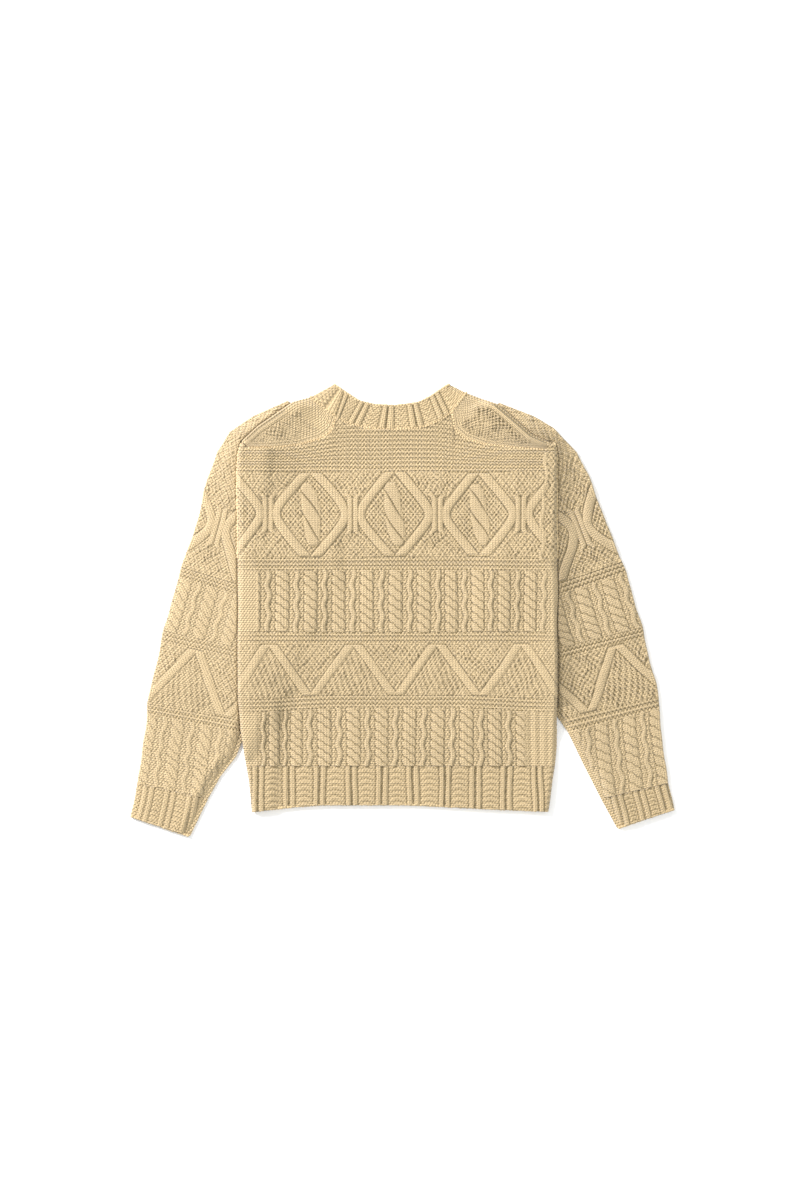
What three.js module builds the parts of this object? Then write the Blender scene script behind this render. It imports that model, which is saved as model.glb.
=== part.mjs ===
// A cable knit sweater laid flat on its front, with its back up and its sleeves tucked under the body.
// Millimetres, +Z up. x runs across the back, y from the hem towards the neck, and z = 0 is the surface
// below. Until the last lines x = 0 is the centre of the back, and y = 0 is halfway down the garment.
import * as THREE from "three";

// Cloth
const WALL = 3; // the knitted fabric, without its raised stitches
const LAYER_GAP = 0.6; // between the two layers of a flattened tube
const SEAM = 0.35; // between two pieces that are sewn together
const TUBE = 2 * WALL + LAYER_GAP; // a flattened tube from face to face
const LIFT = TUBE + SEAM; // how far the body is raised where it lies on a sleeve
const RAMP = 60; // the width over which it rises to that height
const SHORT_RAMP = 24; // the same towards both ends of the tucked sleeve
const RAMP_MARGIN = 4; // how far past the sleeve's edge it is already at full height
const TURN = 6; // how far in from a folded edge the cloth starts to curve down
const CURVE = 0.3 * TURN; // how far in it has come round half of that curve
const RAISED = 3; // a cable or cord above the ground of the knitting
const RIDGE = 1.4; // a garter ridge above its valley

// The bands that are knitted across the back, from the neck down
const YOKE_TOP = 253;
const YOKE_SIDES = 243; // where its upper edge meets the folded sides
const YOKE_END = 207;
const DIAMONDS = { height: 127.5, pitch: 126, centre: -4, halfWidth: 54, halfHeight: 61, cord: 8 };
const RIDGES_1 = { height: 19.5, count: 3 };
const CABLES_1 = { height: 93, pitch: 42.5, centre: -3, crossings: 6 };
const RIDGES_2 = { height: 16.5, count: 3 };
const ZIGZAG = { height: 78, pitch: 126, centre: -3, cord: 6 };
const RIDGES_3 = { height: 19.5, count: 3 };
const CABLES_2 = { height: 87, pitch: 42.5, centre: 18, crossings: 6 };
const YOKE_RIDGES = 8;
const CABLE_HALF = 10.5;
const SNAKE = { half: 4.5, swing: 2.6, wave: 27 };
const BEADS = { halfWidth: 9, halfHeight: 44, length: 29 }; // the twist down the middle of each diamond
const BAR = { half: 4.5, halfHeight: 34 }; // the rib that stands between two diamonds
const HEM_RIBS = { pitch: 46.6, centre: -23, spread: 5, half: 4.2 };
const CUFF_RIBS = { pitch: 34, centre: 0, spread: 4.9, half: 3.7 };
const NECK_RIBS = { pitch: 36, rise: 1.8, columns: 6 }; // columns of points in each repeat
const WELT_ROWS = [0, 0.06, 0.5, 0.94, 1]; // along a hem rib or a cuff, whose ribs stop short of both ends
const STRAP_GAP = { x: 0.42, y: 0.25 }; // from each end of a shoulder strap to the neckband and to the cap

// How far the body's folded sides stand from its centre line, from the shoulders down
const SIDES = [
  { y: -310, left: 216, right: 226 },
  { y: -234, left: 228, right: 236 },
  { y: -202, left: 232, right: 238.5 },
  { y: -180, left: 236, right: 240 },
  { y: -135, left: 240, right: 240 },
  { y: 233, left: 240, right: 240 },
  { y: 245, left: 237.5, right: 238 },
  { y: 253.5, left: 233, right: 231 },
];

// Upper edge of the back: left side, strap seam, neckline, strap seam, right side
const BACK_TOP = [
  { x: -233, y: 253.5 }, { x: -226, y: 243 }, { x: -190, y: 243 }, { x: -146, y: 247.5 },
  { x: -112, y: 257 }, { x: -98, y: 268 }, { x: -92, y: 288 }, { x: -79, y: 281 }, { x: -49, y: 273 },
  { x: -4, y: 270 }, { x: 41, y: 274.5 }, { x: 64, y: 284 }, { x: 82, y: 297 }, { x: 86, y: 270 },
  { x: 100, y: 257 }, { x: 130, y: 248 }, { x: 176, y: 243 }, { x: 221, y: 240 }, { x: 231, y: 250 },
];

// Upper edge of the front, whose neckline is cut lower
const FRONT_TOP = [
  { x: -233, y: 253.5 }, { x: -226, y: 243 }, { x: -190, y: 243 }, { x: -146, y: 247.5 },
  { x: -124, y: 253 }, { x: -116, y: 270 }, { x: -108, y: 252 }, { x: -84, y: 236 }, { x: -48, y: 227 },
  { x: -4, y: 224 }, { x: 40, y: 227 }, { x: 76, y: 236 }, { x: 95, y: 254 }, { x: 102, y: 274 },
  { x: 112, y: 254 }, { x: 130, y: 248 }, { x: 176, y: 243 }, { x: 221, y: 240 }, { x: 231, y: 250 },
];

// Lower edge of the hem, which drops towards the sides
const HEM_EDGE = [
  { x: -230, y: -303 }, { x: -217, y: -303 }, { x: -170, y: -297 }, { x: -116, y: -292.5 },
  { x: 19, y: -292.5 }, { x: 79, y: -295.5 }, { x: 139, y: -298.5 }, { x: 230, y: -302.5 },
];
const HEM_START = -234;

// Sections across each sleeve, from shoulder to cuff: how far out both ends are, and how high. The outer
// end is the fold that shows; the inner end is the fold under the body, and shows below it.
const LEFT_SLEEVE = [
  { part: "cap", outerX: 166, outerY: 314, innerX: 152, innerY: 305 },
  { part: "cap", outerX: 217, outerY: 291, innerX: 192, innerY: 268 },
  { part: "cap", outerX: 253, outerY: 267, innerX: 205, innerY: 246 },
  { part: "cap", outerX: 272, outerY: 237, innerX: 204, innerY: 212 },
  { part: "diamonds", outerX: 284, outerY: 202, innerX: 196, innerY: 172 },
  { part: "diamonds", outerX: 296, outerY: 157, innerX: 176, innerY: 122 },
  { part: "diamonds", outerX: 308, outerY: 112, innerX: 155, innerY: 66 },
  { part: "ridges", outerX: 325, outerY: 64.5, innerX: 142, innerY: 9 },
  { part: "cables", outerX: 329, outerY: 50, innerX: 143, innerY: -8 },
  { part: "ridges", outerX: 352, outerY: -30, innerX: 177, innerY: -70 },
  { part: "zigzag", outerX: 355, outerY: -46.5, innerX: 186, innerY: -85 },
  { part: "ridges", outerX: 376, outerY: -139.5, innerX: 222, innerY: -167 },
  { part: "lower_cables", outerX: 377, outerY: -155, innerX: 229, innerY: -185 },
  { part: "lower_cables", outerX: 382, outerY: -198, innerX: 242, innerY: -220 },
  { part: "lower_cables", outerX: 385, outerY: -225, innerX: 265, innerY: -249 },
  { part: "cuff", outerX: 391, outerY: -259.5, innerX: 284, innerY: -283 },
  { part: "end", outerX: 402, outerY: -310.5, innerX: 311, innerY: -339 },
];
const RIGHT_SLEEVE = [
  { part: "cap", outerX: 154, outerY: 311, innerX: 140, innerY: 302 },
  { part: "cap", outerX: 205, outerY: 291, innerX: 180, innerY: 264 },
  { part: "cap", outerX: 235, outerY: 273, innerX: 199, innerY: 245 },
  { part: "cap", outerX: 269, outerY: 237, innerX: 203, innerY: 210 },
  { part: "diamonds", outerX: 287, outerY: 202, innerX: 196, innerY: 170 },
  { part: "diamonds", outerX: 304, outerY: 157, innerX: 176, innerY: 117 },
  { part: "diamonds", outerX: 322, outerY: 112, innerX: 156, innerY: 60 },
  { part: "ridges", outerX: 337, outerY: 72, innerX: 149, innerY: 8 },
  { part: "cables", outerX: 343, outerY: 57, innerX: 151, innerY: -10 },
  { part: "ridges", outerX: 368, outerY: -25.5, innerX: 178, innerY: -73 },
  { part: "zigzag", outerX: 371, outerY: -40.5, innerX: 188, innerY: -88 },
  { part: "ridges", outerX: 392, outerY: -129, innerX: 242, innerY: -163 },
  { part: "lower_cables", outerX: 394, outerY: -147, innerX: 256, innerY: -184 },
  { part: "lower_cables", outerX: 398, outerY: -202, innerX: 278, innerY: -230 },
  { part: "cuff", outerX: 407, outerY: -259.5, innerX: 305, innerY: -283 },
  { part: "end", outerX: 416, outerY: -300, innerX: 329, innerY: -327 },
];

// Where the middle of one motif of each band lies, in from the outer fold of the sleeve
const LEFT_MOTIFS = { diamonds: -29, cables: 54, zigzag: -9, lower_cables: 48, cuff: 18 };
const RIGHT_MOTIFS = { diamonds: -23, cables: 30, zigzag: -18, lower_cables: 48, cuff: 12 };

// Sections across each shoulder strap, from neckband to tip: its fold, and its seams to the back and front
const LEFT_SADDLE = [
  { foldX: -130, foldY: 319.5, backX: -92, backY: 288, frontX: -116, frontY: 270 },
  { foldX: -143, foldY: 316, backX: -98, backY: 268, frontX: -120, frontY: 261.5 },
  { foldX: -157, foldY: 312, backX: -112, backY: 257, frontX: -124, frontY: 253 },
  { foldX: -184, foldY: 293, backX: -146, backY: 247.5, frontX: -146, frontY: 247.5 },
  { foldX: -210, foldY: 275, backX: -190, backY: 243, frontX: -190, frontY: 243 },
  { foldX: -233, foldY: 253.5, backX: -226, backY: 243, frontX: -226, frontY: 243 },
];
const RIGHT_SADDLE = [
  { foldX: 103, foldY: 325.5, backX: 82, backY: 297, frontX: 102, frontY: 274 },
  { foldX: 126, foldY: 317, backX: 86, backY: 270, frontX: 107, frontY: 264 },
  { foldX: 149, foldY: 309, backX: 100, backY: 257, frontX: 112, frontY: 254 },
  { foldX: 176, foldY: 286, backX: 130, backY: 248, frontX: 130, frontY: 248 },
  { foldX: 203, foldY: 262, backX: 176, backY: 243, frontX: 176, frontY: 243 },
  { foldX: 231, foldY: 250, backX: 221, backY: 240, frontX: 221, frontY: 240 },
];

// Sections across the neckband, once round it: its free edge and the edge sewn to the body.
// The back half runs from left to right, and the front half, underneath, from right to left.
const NECK_BACK = [
  { edgeX: -94, edgeY: 339, seamX: -130, seamY: 319.5 },
  { edgeX: -79, edgeY: 328.5, seamX: -92, seamY: 288 },
  { edgeX: -59, edgeY: 315, seamX: -79, seamY: 281 },
  { edgeX: -34, edgeY: 309, seamX: -49, seamY: 273 },
  { edgeX: -4, edgeY: 307.5, seamX: -4, seamY: 270 },
  { edgeX: 31, edgeY: 312, seamX: 41, seamY: 274.5 },
  { edgeX: 49, edgeY: 321, seamX: 64, seamY: 284 },
  { edgeX: 64, edgeY: 331.5, seamX: 82, seamY: 297 },
  { edgeX: 76, edgeY: 339, seamX: 103, seamY: 325.5 },
];
const NECK_FRONT = [
  { edgeX: 72, edgeY: 312, seamX: 102, seamY: 274 },
  { edgeX: 66, edgeY: 290, seamX: 95, seamY: 254 },
  { edgeX: 56, edgeY: 272, seamX: 76, seamY: 236 },
  { edgeX: 30, edgeY: 262, seamX: 40, seamY: 227 },
  { edgeX: -4, edgeY: 259, seamX: -4, seamY: 224 },
  { edgeX: -38, edgeY: 262, seamX: -48, seamY: 227 },
  { edgeX: -66, edgeY: 272, seamX: -84, seamY: 236 },
  { edgeX: -78, edgeY: 290, seamX: -108, seamY: 252 },
  { edgeX: -87, edgeY: 312, seamX: -116, seamY: 270 },
];

const WOOL = "#d7bf97";
const LEFT = -1;
const RIGHT = 1;

// Small sums
const lerp = (a, b, t) => a + (b - a) * t;
const clamp = (t, low = 0, high = 1) => Math.min(high, Math.max(low, t));
const bump = (distance, half) => Math.cos((clamp(distance / half, -1) * Math.PI) / 2);
const evenly = (count) => Array.from({ length: count + 1 }, (_, i) => i / count);
const toNearest = (x, pitch, centre) => x - centre - pitch * Math.round((x - centre) / pitch);

// Reads a value off a table whose rows go up by a key, with straight lines between the rows.
function readOff(table, key, at, value) {
  const next = table.findIndex((row) => row[key] >= at);
  if (next === 0) return table[0][value];
  if (next < 0) return table[table.length - 1][value];
  const [a, b] = [table[next - 1], table[next]];
  return lerp(a[value], b[value], (at - a[key]) / (b[key] - a[key]));
}

// Moves a line of points sideways, which leaves the same gap along a seam that turns.
function besideLine(points, distance) {
  const directions = points.slice(1).map((p, i) => Math.atan2(p.y - points[i].y, p.x - points[i].x));
  return points.map((p, i) => {
    const before = directions[Math.max(i - 1, 0)];
    const after = directions[Math.min(i, directions.length - 1)];
    const middle = (before + after) / 2;
    const reach = distance / Math.max(Math.cos((after - before) / 2), 0.5);
    return { x: p.x - Math.sin(middle) * reach, y: p.y + Math.cos(middle) * reach };
  });
}

// How high the body is lifted by the sleeve below it. The inner folds of the sleeves bound what is lifted.
const tuckEdges = (sections, side) => {
  const edges = sections.map((s) => ({ y: s.innerY, x: s.innerX })).reverse();
  const shown = edges.filter((edge) => edge.x > readOff(SIDES, "y", edge.y, side)).at(-1);
  const hidden = edges.filter((edge) => edge.y >= shown.y);
  const below = { y: hidden[0].y - 2 * SHORT_RAMP, x: hidden[0].x + 2 * SHORT_RAMP };
  const above = { y: hidden.at(-1).y + 0.75 * SHORT_RAMP, x: hidden.at(-1).x + SHORT_RAMP };
  return [below, ...hidden, above];
};
const TUCK = { [LEFT]: tuckEdges(LEFT_SLEEVE, "left"), [RIGHT]: tuckEdges(RIGHT_SLEEVE, "right") };
const rampEnd = (side, y) => readOff(TUCK[side], "y", y, "x") - RAMP_MARGIN;
const RAMPS = [
  { y: -234, width: SHORT_RAMP },
  { y: -150, width: RAMP },
  { y: 240, width: RAMP },
  { y: 305, width: SHORT_RAMP },
];
const rampWidth = (y) => readOff(RAMPS, "y", y, "width");

function liftAt(x, y) {
  const side = x < 0 ? LEFT : RIGHT;
  return LIFT * clamp(1 + (Math.abs(x) - rampEnd(side, y)) / rampWidth(y));
}

const sideX = (side, y) => side * readOff(SIDES, "y", y, side === LEFT ? "left" : "right");

// Height of the raised stitches above the ground of the knitting, for each band.
// x runs across the piece and v goes from 0 at the band's upper edge to 1 at its lower edge.
const relief = {
  plain: () => 0,

  diamonds(x, v) {
    const d = DIAMONDS;
    const y = (v - 0.5) * d.height;
    const across = Math.abs(toNearest(x, d.pitch, d.centre));
    const halfWidth = d.halfWidth * clamp(1 - Math.abs(y) / d.halfHeight);
    const cord = RAISED * bump(across - halfWidth, d.cord);
    const turn = Math.cos((2 * Math.PI * y) / BEADS.length);
    const beads = Math.abs(y) < BEADS.halfHeight ? (2 + 0.8 * turn) * bump(across, BEADS.halfWidth) : 0;
    const bar = Math.abs(y) < BAR.halfHeight ? 2 * bump(across - d.pitch / 2, BAR.half) : 0;
    return Math.max(cord, beads, bar);
  },

  cables(x, v, band) {
    const y = v * band.height;
    const fromCable = toNearest(x, band.pitch, band.centre);
    const lean = Math.cos(2 * Math.PI * v * band.crossings);
    const strand = 0.75 + 0.25 * lean * Math.sign(fromCable);
    const cable = RAISED * strand * bump(Math.abs(fromCable) - CABLE_HALF / 2, CABLE_HALF / 2);
    const swing = SNAKE.swing * Math.sin((2 * Math.PI * y) / SNAKE.wave);
    const fromSnake = toNearest(x - swing, band.pitch, band.centre + band.pitch / 2);
    return Math.max(cable, 2.2 * bump(fromSnake, SNAKE.half));
  },

  zigzag(x, v) {
    const z = ZIGZAG;
    const across = Math.abs(toNearest(x, z.pitch, z.centre));
    return 2.6 * bump(across - (1 - v) * (z.pitch / 2), z.cord);
  },

  ribs(x, v, ribs) {
    const across = Math.abs(toNearest(x, ribs.pitch, ribs.centre));
    return 2.4 * bump(across - ribs.spread, ribs.half);
  },
};

// Where a row of each band needs points, so that every cord has its crest and both feet.
const stops = {
  plain: (v, from, to) => evenly(4).map((t) => lerp(from, to, t)),

  diamonds(v, from, to) {
    const d = DIAMONDS;
    const y = (v - 0.5) * d.height;
    const halfWidth = d.halfWidth * clamp(1 - Math.abs(y) / d.halfHeight);
    const feet = [-d.cord, 0, d.cord].map((foot) => halfWidth + foot).filter((x) => x > 1);
    const beads = Math.abs(y) < BEADS.halfHeight ? [BEADS.halfWidth] : [];
    const bar = Math.abs(y) < BAR.halfHeight ? [d.pitch / 2 - BAR.half, d.pitch / 2] : [];
    const half = [...beads, ...feet, ...bar].filter((x) => x <= d.pitch / 2);
    return repeat([0, ...half, ...half.map((x) => -x)], d, from, to);
  },

  cables(v, from, to, band) {
    const y = v * band.height;
    const swing = SNAKE.swing * Math.sin((2 * Math.PI * y) / SNAKE.wave);
    const snake = [-SNAKE.half, 0, SNAKE.half].map((foot) => band.pitch / 2 + swing + foot);
    const cable = [-CABLE_HALF, -CABLE_HALF / 2, 0, CABLE_HALF / 2, CABLE_HALF];
    return repeat([...cable, ...snake], band, from, to);
  },

  zigzag(v, from, to) {
    const z = ZIGZAG;
    const crest = (1 - v) * (z.pitch / 2);
    const half = [-z.cord, 0, z.cord].map((foot) => crest + foot).filter((x) => x >= 0 && x <= z.pitch / 2);
    return repeat([...half, ...half.map((x) => -x)], z, from, to);
  },

  ribs(v, from, to, ribs) {
    const half = [0, ribs.spread, ribs.spread + ribs.half];
    return repeat([...half, ...half.map((x) => -x)], ribs, from, to);
  },
};

// The stops of one repeat, at every repeat between two places, in order and not too close.
function repeat(inOne, { pitch, centre }, from, to) {
  const first = Math.floor((from - centre) / pitch);
  const last = Math.ceil((to - centre) / pitch);
  const all = evenly(last - first).flatMap((_, i) => inOne.map((x) => centre + pitch * (first + i) + x));
  return inOrder(all, from, to, 1.5);
}

function inOrder(xs, from, to, least) {
  const kept = [];
  for (const x of xs.filter((at) => at > from + least && at < to - least).sort((a, b) => a - b))
    if (!kept.length || x - kept.at(-1) >= least) kept.push(x);
  return kept;
}

// The rows of a band: how many, and whether each stands up as a garter ridge.
const bandRows = (kind, band, rows) => evenly(rows).map((v) => ({ kind, band, v, ridge: 0 }));
const ridgeRows = (band) =>
  evenly(2 * band.count).map((v, i) => ({ kind: "plain", band, v, ridge: i % 2 ? RIDGE : 0 }));

// One closed wall between rows of outer points and rows of inner points. A row is { at, points }, where at
// is its place along the piece, and a point is { u, x, y, z }, where u is its place along the row. Two rows
// that are paired are joined point by point, and others by the nearest u.
// ring: each row closes on itself. loop: the last row is followed by the first.
function wall(outer, inner, { ring = false, loop = false } = {}) {
  const positions = [];
  const faces = [];
  const numbered = (rows) => {
    const done = rows.map(({ at, points, paired = false }) => {
      const row = points.map(({ u, x, y, z }) => ({ u, id: positions.push([x, y, z]) - 1 }));
      return { at, paired, row: ring ? [...row, { u: 1, id: row[0].id }] : row };
    });
    return loop ? [...done, { at: 1, row: done[0].row }] : done;
  };
  const strip = (a, b, paired = false) => {
    for (let i = 0, j = 0; i < a.length - 1 || j < b.length - 1; ) {
      const first = paired ? i === j : j === b.length - 1 || a[i + 1]?.u <= b[j + 1].u;
      const stepA = i < a.length - 1 && first;
      faces.push([a[i].id, b[j].id, stepA ? a[++i].id : b[++j].id]);
    }
  };
  const side = (rows, pick) => rows.map(({ at, row }) => ({ u: at, id: row.at(pick).id }));
  const [out, inn] = [numbered(outer), numbered(inner)];
  const bothPaired = (a, b) => a.paired && b.paired && a.row.length === b.row.length;
  for (let k = 1; k < out.length; k++) strip(out[k - 1].row, out[k].row, bothPaired(out[k - 1], out[k]));
  for (let k = 1; k < inn.length; k++) strip(inn[k].row, inn[k - 1].row, bothPaired(inn[k], inn[k - 1]));
  if (!loop) {
    strip(inn[0].row, out[0].row);
    strip(out.at(-1).row, inn.at(-1).row);
  }
  if (!ring) {
    strip(side(out, 0), side(inn, 0));
    strip(side(inn, -1), side(out, -1));
  }
  return solid(positions, faces);
}

// A geometry from points and faces, turned so that its faces point outwards.
function solid(positions, faces) {
  const volume = faces.reduce((sum, [a, b, c]) => {
    const [p, q, r] = [a, b, c].map((id) => new THREE.Vector3(...positions[id]));
    return sum + p.dot(q.cross(r));
  }, 0);
  const index = volume < 0 ? faces.map(([a, b, c]) => [a, c, b]) : faces;
  const geometry = new THREE.BufferGeometry();
  geometry.setAttribute("position", new THREE.Float32BufferAttribute(positions.flat(), 3));
  geometry.setIndex(index.flat());
  geometry.computeVertexNormals();
  return geometry;
}

function piece(name, geometry) {
  const material = new THREE.MeshStandardMaterial({ color: WOOL, roughness: 0.95, metalness: 0 });
  const mesh = new THREE.Mesh(geometry, material);
  mesh.name = name;
  return mesh;
}

// Body panels. Where a side is folded, the cloth curves down or up to the middle of the flattened body.
const MIDDLE = TUBE / 2;
const LAYERS = {
  back: { outer: TUBE, inner: TUBE - WALL, edge: MIDDLE + SEAM / 2 },
  front: { outer: 0, inner: WALL, edge: MIDDLE - SEAM / 2 },
};
const roundness = (inFromEdge, radius) => Math.sqrt(1 - (1 - clamp(inFromEdge / radius)) ** 2);
const BEND = MIDDLE * roundness(CURVE, TURN); // how far above the middle of a tube it is at CURVE

function bodyPoint(x, y, layer, face, raised = 0) {
  const inFromEdge = Math.min(x - sideX(LEFT, y), sideX(RIGHT, y) - x);
  const turned = face === "outer" ? roundness(inFromEdge, TURN) : roundness(inFromEdge - WALL, TURN - WALL);
  const z = lerp(layer.edge, layer[face] + raised, turned) + liftAt(x, y);
  return { u: x, x, y, z };
}

// Columns of a plain row of the body: the folded sides, and both feet of the ramp over each sleeve.
function plainColumns(y, face, extra = []) {
  const inset = face === "outer" ? 0 : WALL;
  const steps = face === "outer" ? [0, CURVE, TURN] : [0, TURN - WALL];
  const [left, right] = [sideX(LEFT, y) + inset, sideX(RIGHT, y) - inset];
  const [low, high] = [left + TURN + 1, right - TURN - 1];
  const leftEnd = Math.max(-rampEnd(LEFT, y), low);
  const rightEnd = Math.min(rampEnd(RIGHT, y), high);
  const leftStart = Math.max(rampWidth(y) - rampEnd(LEFT, y), leftEnd + 1);
  const rightStart = Math.min(rampEnd(RIGHT, y) - rampWidth(y), rightEnd - 1);
  const ramps = [leftEnd, leftStart, 0, rightStart, rightEnd];
  const middle = extra.length ? inOrder([...ramps, ...extra], low - 1, high + 1, 0.9) : ramps;
  return [...steps.map((s) => left + s), ...middle, ...steps.map((s) => right - s).reverse()];
}

const neckColumns = (top) => top.slice(1, -1).map(({ x }) => x);

// A yoke row lies between the panel's upper edge, at t = 0, and the straight end of the yoke, at t = 1.
function yokeRow(top, t, layer, face, raised) {
  const nominal = lerp(YOKE_SIDES, YOKE_END, t);
  const heightAt = (x) => lerp(readOff(top, "x", x, "y"), YOKE_END, t);
  const ends = [-240, 240].map(heightAt);
  const extra = t < 0.6 ? neckColumns(top) : neckColumns(top).filter((_, i) => i % 3 === 0);
  const middle = plainColumns(nominal, face, extra).slice(1, -1);
  const start = face === "outer" ? 0 : WALL;
  const [left, right] = [sideX(LEFT, ends[0]) + start, sideX(RIGHT, ends[1]) - start];
  const turns = face === "outer" ? [CURVE, TURN] : [TURN - WALL];
  const reach = turns.at(-1) + 0.5;
  const inside = middle.filter((x) => x > left + reach && x < right - reach);
  const turned = turns.map((s) => right - s).reverse();
  const columns = [left, ...turns.map((s) => left + s), ...inside, ...turned, right];
  const points = columns.map((x) => bodyPoint(x, heightAt(x), layer, face, raised));
  return { at: -lerp(YOKE_TOP, YOKE_END, t), points };
}

const plainRow = (y, layer, face) => ({
  at: -y,
  paired: true,
  points: plainColumns(y, face).map((x) => bodyPoint(x, y, layer, face)),
});

// Heights at which the ramps over the sleeves bend, which plain rows follow.
function rampRows(from, to) {
  const bends = [...TUCK[LEFT], ...TUCK[RIGHT]].map((edge) => edge.y);
  const corners = [...SIDES, ...RAMPS].map((row) => row.y);
  return inOrder([...bends, ...corners], to, from, 2).reverse();
}

// A row of the back within a band. The row at each end of a band is level.
function bandRow(y, { kind, band, v, ridge }) {
  if (kind === "plain") {
    return { at: -y, points: plainColumns(y, "outer").map((x) => backPoint(x, y, ridge)) };
  }
  const [left, right] = [sideX(LEFT, y), sideX(RIGHT, y)];
  const inside = stops[kind](v, left + TURN, right - TURN, band);
  const columns = [left, left + CURVE, left + TURN, ...inside, right - TURN, right - CURVE, right];
  const height = v > 0 && v < 1 ? (x) => relief[kind](x, v, band) : () => 0;
  return { at: -y, points: columns.map((x) => backPoint(x, y, height(x))) };
}

const backPoint = (x, y, raised) => bodyPoint(x, y, LAYERS.back, "outer", raised);

function back() {
  const layer = LAYERS.back;
  const top = besideLine(BACK_TOP, -SEAM);
  const end = HEM_START + SEAM;
  const yoke = evenly(2 * YOKE_RIDGES).map((t, i) => yokeRow(top, t, layer, "outer", i % 2 ? RIDGE : 0));
  const bands = [
    bandRows("diamonds", DIAMONDS, 16),
    ridgeRows(RIDGES_1),
    bandRows("cables", CABLES_1, 12),
    ridgeRows(RIDGES_2),
    bandRows("zigzag", ZIGZAG, 8),
    ridgeRows(RIDGES_3),
    bandRows("cables", CABLES_2, 12),
  ];
  let upper = YOKE_END;
  const outer = [...yoke.slice(0, -1), bandRow(upper, bands[0][0])];
  bands.forEach((rows, i) => {
    const below = bands[i + 1]?.[0];
    for (const row of rows.slice(1)) {
      const border = row.kind === "plain" && row.v === 1 ? below : row;
      outer.push(bandRow(Math.max(upper - row.v * row.band.height, end), border));
    }
    upper -= rows[0].band.height;
  });
  const inner = [
    yokeRow(top, 0, layer, "inner", 0),
    ...[YOKE_END, ...rampRows(YOKE_END, end), end].map((y) => plainRow(y, layer, "inner")),
  ];
  return wall(outer, inner);
}

function front() {
  const layer = LAYERS.front;
  const top = besideLine(FRONT_TOP, -SEAM);
  const end = HEM_START + SEAM;
  const [outer, inner] = ["outer", "inner"].map((face) => [
    yokeRow(top, 0, layer, face, 0),
    ...[YOKE_END, ...rampRows(YOKE_END, end), end].map((y) => plainRow(y, layer, face)),
  ]);
  return wall(outer, inner);
}

// The hem rib of the back, with its raised ribs, or of the front, with none.
function hemRib(layer, raised) {
  const row = (t, face) => {
    const nominal = lerp(HEM_START, -300, t);
    const [left, right] = [sideX(LEFT, nominal), sideX(RIGHT, nominal)];
    const ribs = raised && face === "outer" ? stops.ribs(0, left + TURN, right - TURN, HEM_RIBS) : [];
    const edge = HEM_EDGE.slice(1, -1).map(({ x }) => x);
    const inset = face === "outer" ? 0 : WALL;
    const turns = face === "outer" ? [0, CURVE, TURN] : [0, TURN - WALL];
    const inside = ribs.length ? ribs : inOrder([...edge, 0], left + TURN, right - TURN, 1);
    const starts = turns.map((s) => left + inset + s);
    const ends = turns.map((s) => right - inset - s).reverse();
    const heightAt = (x) => lerp(HEM_START - SEAM, readOff(HEM_EDGE, "x", x, "y"), t);
    const rise = (x) => (ribs.length && t < 0.97 ? relief.ribs(x, 0, HEM_RIBS) : 0);
    const columns = [...starts, ...inside, ...ends];
    return { at: t, points: columns.map((x) => bodyPoint(x, heightAt(x), layer, face, rise(x))) };
  };
  const outer = raised ? WELT_ROWS : [0, 0.5, 1];
  return wall(outer.map((t) => row(t, "outer")), [0, 0.5, 1].map((t) => row(t, "inner")));
}

// A sleeve or cuff: a flattened tube. Each ring runs from the outer fold over the top to the inner fold,
// and back along the underside. The raised stitches fade out where the body covers the sleeve.
const SLEEVE_BANDS = {
  cap: { rows: evenly(4), kind: "plain" },
  diamonds: { rows: evenly(12), kind: "diamonds", band: DIAMONDS },
  ridges: { rows: evenly(4), kind: "plain", ridge: RIDGE },
  cables: { rows: evenly(12), kind: "cables", band: CABLES_1 },
  zigzag: { rows: evenly(6), kind: "zigzag", band: ZIGZAG },
  lower_cables: { rows: evenly(12), kind: "cables", band: CABLES_1 },
  cuff: { rows: WELT_ROWS, kind: "ribs", band: CUFF_RIBS },
};

// How far in from the outer fold a section of the sleeve goes under the folded side of the body.
function coveredFrom(side, { outerX, outerY, innerX, innerY }, width) {
  const outside = (t) => lerp(outerX, innerX, t) - Math.abs(sideX(side, lerp(outerY, innerY, t)));
  if (outside(1) > 0) return width;
  let [shown, hidden] = [0, 1];
  for (let i = 0; i < 12; i++) {
    const middle = (shown + hidden) / 2;
    if (outside(middle) > 0) shown = middle;
    else hidden = middle;
  }
  return shown * width;
}

function tubeRing(side, section, at, { kind, band, v, ridge = 0, shift = 0 }) {
  const { outerX, outerY, innerX, innerY } = section;
  const width = Math.hypot(outerX - innerX, outerY - innerY);
  const end = Math.min(coveredFrom(side, section, width), width - TURN);
  const fade = (a) => clamp((end - a) / TURN) * clamp(a / TURN - 1);
  const plain = kind === "plain";
  const [low, high] = [TURN + shift, end + shift];
  const wanted = plain ? [low, high - TURN] : stops[kind](v, low, high, band);
  const columns = [TURN, ...inOrder(wanted.map((x) => x - shift), TURN, end, 1.5)];
  const height = (a) => ridge + (v > 0 && v < 1 ? relief[kind](a + shift, v, band) : 0);
  const top = columns.map((a) => [a, height(a) * fade(a)]);
  const covered = end < width - TURN - 2 ? [[end, 0], [width - TURN, 0]] : [[width - TURN, 0]];
  const ring = [
    [0, 0, MIDDLE], [0.02, CURVE, MIDDLE + BEND],
    ...[...top, ...covered].map(([a, h]) => [lerp(0.03, 0.47, a / width), a, TUBE + h]),
    [0.48, width - CURVE, MIDDLE + BEND], [0.5, width, MIDDLE], [0.52, width - CURVE, MIDDLE - BEND],
    [0.53, width - TURN, 0], [0.97, TURN, 0], [0.98, CURVE, MIDDLE - BEND],
  ];
  return { at, points: ring.map(([u, a, z]) => ringPoint(side, section, u, a / width, z)) };
}

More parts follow.
